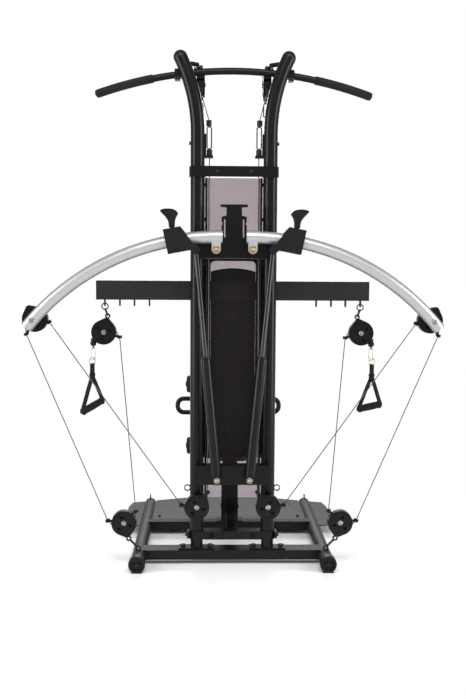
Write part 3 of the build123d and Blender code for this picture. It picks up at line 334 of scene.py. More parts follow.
def soft_vinyl(name, colour):
    """Leather-grained vinyl."""
    material, shader, tree = start_material(name, colour, 0.0, 0.46)
    vector = places(tree)
    grain = cells_of(tree, vector, 420.0)
    folds = noise_of(tree, vector, 90.0, 6.0, 0.6)
    tree.links.new(ramp(tree, folds, [(0.3, shade(colour, 0.7)), (0.7, shade(colour, 1.3))]),
                   shader.inputs["Base Color"])
    tree.links.new(spread(tree, folds, 0.38, 0.58), shader.inputs["Roughness"])
    add_bump(tree, shader, combine(tree, "ADD", grain, folds), 0.38, 0.0005)
    shader.inputs["Specular IOR Level"].default_value = 0.3
    return material


def webbing(name, colour):
    """Woven nylon tape."""
    material, shader, tree = start_material(name, colour, 0.0, 0.72)
    vector = places(tree)
    ribs = waves_of(tree, vector, 260.0, "Z")
    cross = waves_of(tree, vector, 190.0, "X")
    weave = combine(tree, "MULTIPLY", ribs, cross)
    tree.links.new(ramp(tree, weave, [(0.0, shade(colour, 0.5)), (0.8, shade(colour, 1.9))]),
                   shader.inputs["Base Color"])
    add_bump(tree, shader, weave, 0.7, 0.0006)
    shader.inputs["Specular IOR Level"].default_value = 0.2
    return material


def mesh_cloth(name, colour, tint):
    """Open mesh cloth: threads both ways, with holes between them."""
    material, shader, tree = start_material(name, colour, 0.0, 0.7)
    vector = places(tree)
    up = waves_of(tree, vector, 150.0, "Z")
    across = waves_of(tree, vector, 150.0, "X")
    threads = combine(tree, "MAXIMUM", up, across)
    solid = combine(tree, "GREATER_THAN", threads, 0.68)
    through = tree.nodes.new("ShaderNodeBsdfTransparent")
    through.inputs["Color"].default_value = (*tint, 1)
    choice = tree.nodes.new("ShaderNodeMixShader")
    tree.links.new(solid, choice.inputs["Fac"])
    tree.links.new(through.outputs["BSDF"], choice.inputs[1])
    tree.links.new(shader.outputs["BSDF"], choice.inputs[2])
    tree.links.new(choice.outputs["Shader"], tree.nodes["Material Output"].inputs["Surface"])
    shader.inputs["Specular IOR Level"].default_value = 0.1
    tree.links.new(ramp(tree, threads, [(0.5, shade(colour, 0.6)), (1.0, shade(colour, 1.5))]),
                   shader.inputs["Base Color"])
    add_bump(tree, shader, threads, 0.5, 0.0005)
    return material


FRAME_BLACK = coated_metal("frame_black", (0.0042, 0.0044, 0.0048), 0.27, peel=0.08, gloss=0.2)
RAIL_BLACK = coated_metal("rail_black", (0.017, 0.0172, 0.018), 0.30, peel=0.08)
DECK_GREY = coated_metal("deck_grey", (0.0155, 0.0165, 0.0172), 0.42, grain=520.0, peel=0.2)
ARM_SILVER = silver_coat("arm_silver", (0.50, 0.51, 0.52), 0.38)
BLACK_PLASTIC = moulded_plastic("black_plastic", (0.006, 0.006, 0.0065), 0.36)
HOUSING_PLASTIC = moulded_plastic("housing_plastic", (0.0018, 0.0018, 0.002), 0.30)
WHEEL_PLASTIC = moulded_plastic("wheel_plastic", (0.0022, 0.0022, 0.0024), 0.30)
BOARD_PLASTIC = moulded_plastic("board_plastic", (0.0048, 0.0048, 0.0052), 0.42)
ZINC = plated_steel("zinc", (0.58, 0.56, 0.50), 0.28)
CABLE = wire_rope("cable", (0.06, 0.06, 0.062))
ROD_BLACK = coated_metal("rod_black", (0.008, 0.008, 0.009), 0.12, peel=0.02, gloss=0.5)
CYLINDER_GREY = coated_metal("cylinder_grey", (0.0032, 0.0034, 0.0038), 0.24, peel=0.03)
FOAM = foam_rubber("foam", (0.007, 0.007, 0.0075))
VINYL = soft_vinyl("vinyl", (0.009, 0.009, 0.0095))
STRAP = webbing("strap", (0.006, 0.006, 0.0065))
MESH = mesh_cloth("mesh", (0.012, 0.010, 0.011), (0.95, 0.825, 0.88))
NUT_STEEL = plated_steel("nut_steel", (0.34, 0.32, 0.28), 0.30)
DARK_STEEL = plated_steel("dark_steel", (0.055, 0.055, 0.055), 0.38)
BRASS = plated_steel("brass", (0.50, 0.36, 0.17), 0.30)

NODE_MATERIALS = {
    "side_tubes": DECK_GREY, "cross_tubes": FRAME_BLACK, "end_caps": BLACK_PLASTIC, "platform": DECK_GREY,
    "bolts": DARK_STEEL, "stub_tubes": FRAME_BLACK, "lower_clamp": FRAME_BLACK, "upper_clamp": FRAME_BLACK,
    "mast_posts": FRAME_BLACK, "top_tubes": FRAME_BLACK, "hub_beam": FRAME_BLACK, "latch_plate": FRAME_BLACK,
    "hook_rail": RAIL_BLACK, "mesh_rails": FRAME_BLACK, "spring_bracket": FRAME_BLACK,
    "pulley_housings": HOUSING_PLASTIC, "cable_docks": FRAME_BLACK, "cable_fittings": BLACK_PLASTIC,
    "fixed_cables": CABLE, "top_brackets": FRAME_BLACK, "bench_frame": FRAME_BLACK,
    "back_board": BOARD_PLASTIC, "seat_post": FRAME_BLACK, "lat_bar": FRAME_BLACK,
}
SIDE_MATERIALS = {
    "arm": ARM_SILVER, "clamp": BLACK_PLASTIC, "pull_lever": BLACK_PLASTIC, "spring_gland": BLACK_PLASTIC,
    "spring_cylinder": CYLINDER_GREY, "spring_rod": ROD_BLACK, "arm_end": HOUSING_PLASTIC,
    "wheel_arm": WHEEL_PLASTIC, "wheel_inner": WHEEL_PLASTIC, "wheel_outer": WHEEL_PLASTIC,
    "wheel_storage": WHEEL_PLASTIC, "wheel_top": WHEEL_PLASTIC,
}


def finish_node(node, *materials):
    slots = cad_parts[node].data.materials
    slots.clear()
    for material in materials:
        slots.append(material)


def finish_nodes():
    for node, material in NODE_MATERIALS.items():
        finish_node(node, material)
    for stem, material in SIDE_MATERIALS.items():
        for side, _ in SIDES:
            finish_node(f"{stem}_{side}", material)


def zinc_bolts_on_arm_ends():
    """The axle bolt and the cable loop in each arm-end group get their own finish."""
    axle = Vector((0.800, 0, 1.020))
    for side, way in SIDES:
        node = f"arm_end_{side}"
        finish_node(node, HOUSING_PLASTIC, ZINC)
        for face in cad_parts[node].data.polygons:
            reach = Vector((face.center.x - way * axle.x, 0, face.center.z - axle.z)).length
            if reach < 0.0102 and abs(face.center.y - CABLE_Y) > 0.0151 or reach < 0.0049:
                face.material_index = 1


# ---------------------------------------------------------------- mesh building blocks

def add_piece(name, mesh, body, material, smooth=True):
    piece = bpy.data.objects.new(name, mesh)
    bpy.context.scene.collection.objects.link(piece)
    if not mesh.materials:
        mesh.materials.append(material)
    if smooth:
        mesh.polygons.foreach_set("use_smooth", [True] * len(mesh.polygons))
    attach(piece, body)
    return piece


def join(name, shapes):
    """One mesh from several (vertices, faces) shapes."""
    vertices, faces = [], []
    for points, polygons in shapes:
        start = len(vertices)
        vertices.extend(points)
        faces.extend([tuple(start + index for index in polygon) for polygon in polygons])
    mesh = bpy.data.meshes.new(name)
    mesh.from_pydata([tuple(point) for point in vertices], [], faces)
    mesh.update()
    return mesh


def side_vector(along):
    """A unit vector across along, the same one each run."""
    other = Vector((0, 0, 1)) if abs(along.z) < 0.9 else Vector((1, 0, 0))
    return along.cross(other).normalized()


def lathe(profile, start, along, count=48):
    """A closed turned shape: profile is (distance along, radius) from one end to the other."""
    along = Vector(along).normalized()
    across = side_vector(along)
    upward = along.cross(across)
    points, faces = [], []
    for distance, radius in profile:
        for step in range(count):
            angle = math.tau * step / count
            out = across * math.cos(angle) + upward * math.sin(angle)
            points.append(Vector(start) + along * distance + out * radius)
    for ring in range(len(profile) - 1):
        for step in range(count):
            a, b = ring * count + step, ring * count + (step + 1) % count
            faces.append((a, b, b + count, a + count))
    faces.append(tuple(reversed(range(count))))
    last = (len(profile) - 1) * count
    faces.append(tuple(range(last, last + count)))
    return points, faces


def sweep(path, section, closed=False):
    """section, a list of (across, upward) points, carried along path without twisting."""
    path = [Vector(point) for point in path]
    count, size = len(path), len(section)
    ends = [(path[(i + 1) % count] - path[i - 1]) if closed or 0 < i < count - 1
            else (path[min(i + 1, count - 1)] - path[max(i - 1, 0)]) for i in range(count)]
    points, faces = [], []
    across = side_vector(ends[0].normalized())
    for place, along in zip(path, ends):
        along = along.normalized()
        across = (across - along * across.dot(along)).normalized()
        upward = along.cross(across)
        points += [place + across * u + upward * v for u, v in section]
    for ring in range(count if closed else count - 1):
        below, above = ring * size, ((ring + 1) % count) * size
        for step in range(size):
            following = (step + 1) % size
            faces.append((below + step, below + following, above + following, above + step))
    if not closed:
        faces.append(tuple(reversed(range(size))))
        faces.append(tuple(range((count - 1) * size, count * size)))
    return points, faces


def circle(radius, count=16):
    return [(radius * math.cos(math.tau * i / count), radius * math.sin(math.tau * i / count))
            for i in range(count)]


def tape(width, thick, count=6):
    """The section of a flat strap with rounded edges."""
    half, edge = width / 2 - thick / 2, thick / 2
    turn = [math.pi * i / count - math.pi / 2 for i in range(count + 1)]
    right = [(half + edge * math.cos(a), edge * math.sin(a)) for a in turn]
    left = [(-u, -v) for u, v in right]
    return right + left


def arc_points(centre, first, second, radius, start, end, count):
    """Points on an arc in the plane of the unit vectors first and second; angles in degrees."""
    angles = [math.radians(start + (end - start) * i / (count - 1)) for i in range(count)]
    return [Vector(centre) + (first * math.cos(a) + second * math.sin(a)) * radius for a in angles]


def moved(shape, matrix):
    points, faces = shape
    return [matrix @ Vector(point) for point in points], faces


def band(radius, width, height, base, way=1):
    """A raised ring round the Y axis: width across the radius, height along Y from base, edges rounded."""
    edge = min(width, height) * 0.35
    half = width / 2
    section = [(0, -half), (height - edge, -half), (height, -half + edge), (height, half - edge),
               (height - edge, half), (0, half)]
    turns = [math.tau * i / 56 for i in range(56)]
    points, faces = [], []
    for turn in turns:
        points += [Vector(((radius + v) * math.cos(turn), way * (base + u), (radius + v) * math.sin(turn)))
                   for u, v in section]
    size = len(section)
    for ring in range(len(turns)):
        below, above = ring * size, (ring + 1) % len(turns) * size
        for step in range(size):
            quad = (below + step, above + step, above + (step + 1) % size, below + (step + 1) % size)
            faces.append(quad if way > 0 else tuple(reversed(quad)))
    return points, faces


def hex_nut(width, height, base, way=1):
    """A chamfered six-sided nut on the Y axis, with a washer face and the bolt's end."""
    points, faces = [], []
    reach = width / math.sqrt(3)
    for depth, scale in ((0, 0.94), (0.08, 1.0), (0.85, 1.0), (1.0, 0.86)):
        for i in range(6):
            turn = math.tau * i / 6 + 0.3
            points.append(Vector((reach * scale * math.cos(turn), way * (base + depth * height),
                                  reach * scale * math.sin(turn))))
    for ring in range(3):
        for i in range(6):
            a, b = ring * 6 + i, ring * 6 + (i + 1) % 6
            faces.append((a, a + 6, b + 6, b) if way > 0 else (a, b, b + 6, a + 6))
    faces += [tuple(range(6)), tuple(reversed(range(18, 24)))] if way > 0 else [
        tuple(reversed(range(6))), tuple(range(18, 24))]
    end = lathe([(0, width * 0.26), (height * 0.25, width * 0.26), (height * 0.36, width * 0.2)],
                (0, way * (base + height * 0.98), 0), (0, way, 0), 24)
    washer = lathe([(0, width * 0.66), (0.0011, width * 0.66), (0.0014, width * 0.63)],
                   (0, way * (base - 0.0002), 0), (0, way, 0), 32)
    return [(points, faces), end, washer]


def dome_nut(radius, height, base, way=1):
    profile = [(0, radius), (height * 0.35, radius), (height * 0.45, radius * 0.93),
               (height * 0.7, radius * 0.72), (height * 0.92, radius * 0.4), (height, radius * 0.12)]
    return [lathe(profile, (0, way * base, 0), (0, way, 0), 32)]


# ---------------------------------------------------------------- pulley faces, nuts and screws

CHEEK_Y = 0.0149
PULLEYS = {
    "arm": ((0.800, -0.057, 1.020), "arm_{}"),
    "inner": ((0.147, -0.057, 0.248), "frame"),
    "outer": ((0.446, -0.057, 0.182), "frame"),
    "storage": ((0.535, 0.044, 0.961), "frame"),
    "top": ((0.137, 0.130, 1.986), "frame"),
}


def pulley_place(name, way):
    """The matrix from a pulley's own frame, with its axle along Y, to its place on one side."""
    x, y, z = PULLEYS[name][0]
    turn = Matrix.Rotation(math.radians(90), 4, "Z") if name == "top" else Matrix.Identity(4)
    return Matrix.Translation((way * x, MAST_Y + y, z)) @ turn


def pulley_faces():
    """Moulded rims and bosses on both cheeks of every pulley housing."""
    for name, (_, body) in PULLEYS.items():
        for side, way in SIDES:
            rings = []
            for face in (1, -1):
                rings.append(band(0.0478, 0.0070, 0.0022, CHEEK_Y, face))
                rings.append(band(0.0400, 0.0022, 0.0012, CHEEK_Y, face))
                rings.append(band(0.0150, 0.0060, 0.0026, CHEEK_Y, face))
            matrix = pulley_place(name, way)
            mesh = join(f"pulley_face_{name}_{side}", [moved(ring, matrix) for ring in rings])
            piece = add_piece(mesh.name, mesh, body.format(side), HOUSING_PLASTIC)
            shade_by_angle(piece, 40)


def nuts():
    """Nuts, washers and caps over the plain bolt ends."""
    for side, way in SIDES:
        for name, base in (("inner", 0.0151), ("outer", 0.0151), ("storage", 0.0151), ("arm", 0.0901)):
            shapes = hex_nut(0.0165, 0.0060, base, -1)
            matrix = pulley_place(name, way)
            body = PULLEYS[name][1].format(side)
            mesh = join(f"axle_nut_{name}_{side}", [moved(shape, matrix) for shape in shapes])
            shade_by_angle(add_piece(mesh.name, mesh, body, NUT_STEEL), 30)
        for label, (x, z), ring in (("pivot", ARM_PIVOT, True), ("spring", ARC_CENTRE, False)):
            matrix = Matrix.Translation((way * x, MAST_Y - 0.1433, z))
            cap = [moved(shape, matrix) for shape in dome_nut(0.0088, 0.0085, 0.0045, -1)]
            skirt = lathe([(0, 0.0124), (0.0046, 0.0124), (0.0053, 0.0112)], (0, 0, 0), (0, -1, 0))
            cap.append(moved(skirt, matrix))
            mesh = join(f"{label}_cap_{side}", cap)
            shade_by_angle(add_piece(mesh.name, mesh, "frame", NUT_STEEL), 30)
            if ring:
                disc = lathe([(0, 0.0168), (0.0014, 0.0168), (0.0018, 0.0160)], (0, 0, 0), (0, -1, 0))
                collar = moved(disc, matrix)
                add_piece(f"{label}_washer_{side}", join(f"{label}_washer_{side}", [collar]), f"arm_{side}",
                          BRASS)
    clamp_screws()


def clamp_screws():
    """Black screws in the upper clamp."""
    low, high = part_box("upper_clamp")
    shapes = []
    for x in (-CLAMP_SCREW_X, CLAMP_SCREW_X):
        matrix = Matrix.Translation((x, low.y + 0.0005, (low.z + high.z) / 2))
        shapes += [moved(shape, matrix) for shape in dome_nut(0.0062, 0.004, 0, -1)]
    mesh = join("clamp_screws", shapes)
    shade_by_angle(add_piece("clamp_screws", mesh, "frame", BLACK_PLASTIC), 30)


def plate(outline, low, high, edge):
    """A flat XZ outline, anticlockwise seen from -Y, given thickness along Y with small chamfers."""
    count = len(outline)
    inset = []
    for i in range(count):
        before, after = Vector(outline[i - 1]), Vector(outline[(i + 1) % count])
        run = (after - before).normalized()
        inset.append(Vector(outline[i]) + Vector((-run.y, run.x)) * edge)
    rings = [(low, inset), (low + edge, outline), (high - edge, outline), (high, inset)]
    points = [Vector((x, y, z)) for y, ring in rings for x, z in ring]
    faces = [tuple(range(count)), tuple(reversed(range(3 * count, 4 * count)))]
    for ring in range(3):
        for i in range(count):
            a, b = ring * count + i, ring * count + (i + 1) % count
            faces.append((a, a + count, b + count, b))
    return points, faces


def flipped(shape, way):
    """A shape made for the right side, mirrored for the left."""
    if way > 0:
        return shape
    points, faces = shape
    return [Vector((-p[0], p[1], p[2])) for p in points], [tuple(reversed(face)) for face in faces]


HORN = [(-0.014, -0.001), (0.010, -0.001), (0.010, 0.012), (0.013, 0.026), (0.021, 0.039), (0.033, 0.051),
        (0.047, 0.066), (0.034, 0.0725), (0.014, 0.0745), (-0.006, 0.0725), (-0.020, 0.066), (-0.028, 0.054),
        (-0.021, 0.044), (-0.016, 0.033), (-0.014, 0.018)]
HORN_FOOT = (0.250, 1.388)


def pull_horns():
    """The hooked finger lever on each clamp, and the pin it lifts."""
    for side, way in SIDES:
        corners = [(HORN_FOOT[0] + x, HORN_FOOT[1] + z) for x, z in HORN]
        outline = [(p.x, p.y) for p in rounded_outline(corners, 0.008, 4)]
        shape = plate(outline, ARM_Y - 0.011, ARM_Y + 0.011, 0.0028)
        pin_axis = Vector((math.sin(math.radians(10.3)), 0, math.cos(math.radians(10.3))))
        pin_foot = Vector((ARC_CENTRE[0], ARM_Y, ARC_CENTRE[1])) + pin_axis * (ARC_R + 0.026)
        pin = lathe([(0, 0.005), (0.040, 0.005)], pin_foot, pin_axis, 24)
        mesh = join(f"pull_horn_{side}", [flipped(part, way) for part in (shape, pin)])
        horn = add_piece(mesh.name, mesh, f"pull_lever_{side}", BLACK_PLASTIC)
        shade_by_angle(horn, 35)
        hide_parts(f"pull_lever_{side}")


def arm_sleeves():
    """The collar round the inner end of each arm, over its hinge lug."""
    for side, way in SIDES:
        path = [Vector((ARC_CENTRE[0] + ARC_R * math.sin(a), ARM_Y, ARC_CENTRE[1] + ARC_R * math.cos(a)))
                for a in [math.radians(-0.88 + 2.9 * i / 10) for i in range(11)]]
        sleeve = sweep(path, circle(0.0262, 48))
        lips = [sweep([path[i], path[i + 1]], circle(0.0272, 48)) for i in (0, 9)]
        mesh = join(f"arm_sleeve_{side}", [flipped(part, way) for part in [sleeve] + lips])
        shade_by_angle(add_piece(mesh.name, mesh, f"arm_{side}", ARM_SILVER), 35)


def back_hoop():
    """The bent flat hoop round the back board, hung under the hub."""
    outer, inner, low, top = 0.139, 0.094, 0.514, 1.2675
    corners = [(-outer, low), (-inner, low), (-inner, top - 0.010), (inner, top - 0.010), (inner, low),
               (outer, low), (outer, top), (-outer, top)]
    soft = rounded_outline(corners, 0.022, 5)
    shape = plate([(p.x, p.y) for p in soft], MAST_Y + 0.040, MAST_Y + 0.062, 0.0015)
    hoop = add_piece("back_hoop", join("back_hoop", [shape]), "frame", FRAME_BLACK)
    shade_by_angle(hoop, 35)


def board_screws():
    """Two screws near the top of the back board, seen through the mesh."""
    shapes = []
    for x in (-0.030, 0.030):
        matrix = Matrix.Translation((x, MAST_Y + 0.0648, 1.130))
        shapes += [moved(shape, matrix) for shape in dome_nut(0.0060, 0.0035, 0, -1)]
    mesh = join("board_screws", shapes)
    shade_by_angle(add_piece("board_screws", mesh, "frame", NUT_STEEL), 30)


def board_skirt():
    """The dark panel between the posts, under the back board."""
    front, back = MAST_Y + 0.0640, MAST_Y + 0.0700
    corners = [(-0.092, 0.505), (0.092, 0.505), (0.092, 0.600), (-0.092, 0.600)]
    shapes = [plate(corners, front, back, 0.0012)]
    mesh = join("board_skirt", shapes)
    shade_by_angle(add_piece("board_skirt", mesh, "frame", BOARD_PLASTIC), 35)


def post_seams():
    """The joint line between each mast post and the tube above it."""
    for side, way in SIDES:
        rings = []
        for z in (1.4640, 1.4700):
            rings.append(lathe([(0, 0.0286), (0.0008, 0.0293), (0.0030, 0.0293), (0.0038, 0.0286)],
                               (way * 0.148, MAST_Y, z), (0, 0, 1), 48))
        mesh = join(f"post_seam_{side}", rings)
        shade_by_angle(add_piece(mesh.name, mesh, "frame", FRAME_BLACK), 35)


def ball_stops():
    """The rubber ball that stops each handle's cable at its pulley."""
    profile = [(0.0130 * (1 - math.cos(math.pi * i / 16)), max(0.0130 * math.sin(math.pi * i / 16), 0.0022))
               for i in range(17)]
    for side, way in SIDES:
        shape = lathe(profile, (way * STORAGE_X, TAB_Y, 0.9015), (0, 0, 1), 32)
        mesh = join(f"ball_stop_{side}", [shape])
        add_piece(mesh.name, mesh, "frame", BLACK_PLASTIC)


# ---------------------------------------------------------------- foam rollers

def foam_roller(name, body, y, z, way):
    """A foam sleeve with soft ends, and the plastic plug in its outer end."""
    low, high = ROLLER_ENDS
    soft, bore = 0.012, 0.0145
    length = high - low
    turn = [math.radians(90 * i / 8) for i in range(9)]
    near = [(soft - soft * math.cos(a), ROLLER_R - soft + soft * math.sin(a)) for a in turn]
    far = [(length - d, r) for d, r in reversed(near)]
    body_rings = [(length * (0.1 + 0.8 * i / 10), ROLLER_R * (1 + 0.004 * math.sin(i * 2.4)))
                  for i in range(11)]
    profile = [(0.004, bore), (0.0005, bore + 0.004)] + near + body_rings + far
    profile += [(length - 0.0005, bore + 0.004), (length - 0.004, bore)]
    sleeve = join(name, [lathe(profile, (way * low, y, z), (way, 0, 0), 64)])
    foam = add_piece(name, sleeve, body, FOAM)
    cap = [(0.0, 0.0165), (0.0035, 0.0165), (0.0055, 0.0145), (0.0065, 0.009), (0.0068, 0.002)]
    plug = join(f"{name}_plug", [lathe(cap, (way * (high - 0.0042), y, z), (way, 0, 0), 40)])
    add_piece(f"{name}_plug", plug, body, BLACK_PLASTIC)
    return foam


def thigh_rollers():
    for side, way in SIDES:
        foam_roller(f"upper_roller_{side}", "frame", *UPPER_ROLLER, way)
    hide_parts("thigh_rollers")


def leg_lever():
    """The square lever with its pivot boss and roller tube, and the lower rollers."""
    y, z = LOWER_ROLLER
    half, bend = 0.0158, 0.005
    square = []
    for corner_x, corner_y, start in ((1, 1, 0), (-1, 1, 90), (-1, -1, 180), (1, -1, 270)):
        for step in range(5):
            angle = math.radians(start + 90 * step / 4)
            square.append((corner_x * (half - bend) + bend * math.cos(angle),
                           corner_y * (half - bend) + bend * math.sin(angle)))
    shaft = sweep([(0, y, z - 0.019), (0, y, z + 0.05), (0, y, LEVER_PIVOT_Z - 0.004)], square)
    boss = lathe([(0, 0.0145), (0.001, 0.0158), (0.035, 0.0158), (0.036, 0.0145)],
                 (-0.018, y, LEVER_PIVOT_Z), (1, 0, 0))
    reach = 0.2105
    tube = lathe([(0, 0.0112), (0.001, 0.0122), (2 * reach - 0.001, 0.0122), (2 * reach, 0.0112)],
                 (-reach, y, z), (1, 0, 0))
    weld = sweep(arc_points((0.0165, y, z), Vector((0, 1, 0)), Vector((0, 0, 1)), 0.0135, 0, 345, 24),
                 circle(0.0018, 8), closed=True)
    other = sweep(arc_points((-0.0165, y, z), Vector((0, 1, 0)), Vector((0, 0, 1)), 0.0135, 0, 345, 24),
                  circle(0.0018, 8), closed=True)
    steel = add_piece("leg_lever_steel", join("leg_lever_steel", [shaft, boss, tube, weld, other]),
                      "leg_lever", FRAME_BLACK, smooth=False)
    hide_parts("leg_lever")
    shade_by_angle(steel)
    for side, way in SIDES:
        foam_roller(f"lower_roller_{side}", "leg_lever", y, z, way)


def shade_by_angle(piece, degrees=35):
    """Smooth shading, with creases sharper than degrees kept."""
    mesh = piece.data
    mesh.polygons.foreach_set("use_smooth", [True] * len(mesh.polygons))
    mesh.set_sharp_from_angle(angle=math.radians(degrees))


# ---------------------------------------------------------------- lat bar grips

def bar_point(x):
    return Vector((x, BAR_Y, BAR_TOP - BAR_ARC + math.sqrt(BAR_ARC ** 2 - x ** 2)))


def lat_grips():
    """Foam grips, rounded off at the outer end."""
    count, sides = 44, 40
    for side, way in SIDES:
        points, faces = [], []
        for i in range(count):
            share = i / (count - 1)
            x = GRIP_START + (BAR_HALF - GRIP_START) * share
            place = bar_point(way * x)
            along = (bar_point(way * (x + 0.001)) - bar_point(way * (x - 0.001))).normalized()
            across = Vector((0, 1, 0))
            upward = along.cross(across)
            end = min(1.0, (1 - share) * 22, share * 30 + 0.8)
            radius = 0.0172 * math.sqrt(max(0.04, 1 - (1 - end) ** 2))
            points += [place + across * radius * math.cos(math.tau * s / sides)
                       + upward * radius * math.sin(math.tau * s / sides) for s in range(sides)]
        for ring in range(count - 1):
            for s in range(sides):
                a, b = ring * sides + s, ring * sides + (s + 1) % sides
                faces.append((a, b, b + sides, a + sides))
        faces += [tuple(reversed(range(sides))), tuple(range((count - 1) * sides, count * sides))]
        mesh = join(f"lat_grip_{side}", [(points, faces)])
        grip = add_piece(mesh.name, mesh, "lat_bar", FOAM)
    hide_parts("lat_grips")


# ---------------------------------------------------------------- stirrup handles

def mirrored(point, way):
    return Vector((way * point[0], point[1], point[2]))


def handle(side, way):
    """Snap hook, ring, webbing loop and foam grip."""
    body = f"handle_{side}"
    hook_top, hook_low = 0.897, 0.852
    top = mirrored((STORAGE_X, TAB_Y, 0), way)
    x_axis, z_axis = Vector((1, 0, 0)), Vector((0, 0, 1))
    loop = arc_points(top + z_axis * (hook_top - 0.0078), x_axis, z_axis, 0.0075, 0, 180, 11)
    loop += arc_points(top + z_axis * (hook_low + 0.0088), x_axis, z_axis, 0.0085, 180, 360, 13)
    wire = sweep(loop, circle(0.0023, 12), closed=True)
    swivel = lathe([(0, 0.003), (0.001, 0.0048), (0.007, 0.0052), (0.009, 0.003)],
                   top + z_axis * (hook_low - 0.008), (0, 0, 1), 24)
    metal = add_piece(f"snap_hook_{side}", join(f"snap_hook_{side}", [wire, swivel]), body, ZINC)
    ring_centre = mirrored((STORAGE_X + 0.005, TAB_Y, 0.840), way)
    ring = sweep(arc_points(ring_centre, x_axis, z_axis, 0.0125, 0, 345, 24), circle(0.0024, 12), closed=True)
    add_piece(f"handle_ring_{side}", join(f"handle_ring_{side}", [ring]), body, ZINC)
    lean = 0.004 * way
    outer = mirrored((STORAGE_X + 0.036 - lean, TAB_Y - 0.048, 0.651 + 0.017 * way), way)
    inner = mirrored((STORAGE_X - 0.034 - lean, TAB_Y + 0.048, 0.651 - 0.017 * way), way)
    along = (outer - inner).normalized()
    top, split = ring_centre - Vector((0, 0, 0.011)), ring_centre - Vector((0, 0, 0.066))
    apart = Vector((along.x, along.y, 0)).normalized() * 0.0016
    across = apart.normalized().cross(z_axis)
    legs = []
    for end, sign in ((inner, -1), (outer, 1)):
        corner = end + along * sign * 0.0035
        route = [top + apart * sign, split + apart * sign, split.lerp(corner, 0.18) + apart * sign * 2,
                 split.lerp(corner, 0.9), corner + Vector((0, 0, 0.004)), corner - Vector((0, 0, 0.006))]
        legs.append(ribbon(smoothed(route, 3), across, 0.021, 0.0028))
    fold = arc_points(ring_centre - Vector((0, 0, 0.0125)), apart.normalized(), z_axis, 0.0026, -25, 205, 11)
    legs.append(ribbon(fold, across, 0.0225, 0.0028))
    keeper = arc_points(split + z_axis * 0.010, apart.normalized(), across, 0.0118, 0, 360, 24)
    hoop = [Vector((split.x, split.y, p.z)) + (p - split - z_axis * (p.z - split.z)) for p in keeper]
    legs.append(ribbon(hoop, z_axis, 0.010, 0.0014))
    strap = join_shapes(legs)
    belt = add_piece(f"handle_strap_{side}", join(f"handle_strap_{side}", [strap]), body, STRAP)
    shade_by_angle(belt, 50)
    length = (outer - inner).length
    grip_profile = [(0.0, 0.0135), (0.0015, 0.0155), (0.004, 0.0165), (0.007, 0.0155), (0.010, 0.0142)]
    grip_profile += [(0.012 + (length - 0.024) * i / 12, 0.0142 + 0.0012 * math.sin(math.pi * i / 12))
                     for i in range(13)]
    grip_profile += [(length - d, r) for d, r in reversed(grip_profile[:5])]
    grip = join(f"handle_grip_{side}", [lathe(grip_profile, inner, along, 40)])
    foam = add_piece(f"handle_grip_{side}", grip, body, FOAM)
    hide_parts(f"handle_{side}")


def ribbon(path, across, width, thick):
    """A flat band along a path, its width always along the same direction."""
    points, faces = [], []
    count = len(path)
    for i, point in enumerate(path):
        run = (path[min(i + 1, count - 1)] - path[max(i - 1, 0)]).normalized()
        side = across.normalized() * (width / 2)
        up = run.cross(across).normalized() * (thick / 2)
        points += [point + side + up, point - side + up, point - side - up, point + side - up]
    for i in range(count - 1):
        a = 4 * i
        faces += [(a + k, a + (k + 1) % 4, a + 4 + (k + 1) % 4, a + 4 + k) for k in range(4)]
    faces += [(3, 2, 1, 0), tuple(4 * (count - 1) + k for k in range(4))]
    return points, faces


def join_shapes(shapes):
    """Several (vertices, faces) shapes as one."""
    points, faces = [], []
    for vertices, polygons in shapes:
        start = len(points)
        points += list(vertices)
        faces += [tuple(start + index for index in polygon) for polygon in polygons]
    return points, faces


def smoothed(path, rounds):
    """Chaikin's corner cutting, with the ends kept."""
    for _ in range(rounds):
        cut = [path[0]]
        for a, b in zip(path, path[1:]):
            cut += [a.lerp(b, 0.25), a.lerp(b, 0.75)]
        path = cut + [path[-1]]
    return path


# ---------------------------------------------------------------- cushions

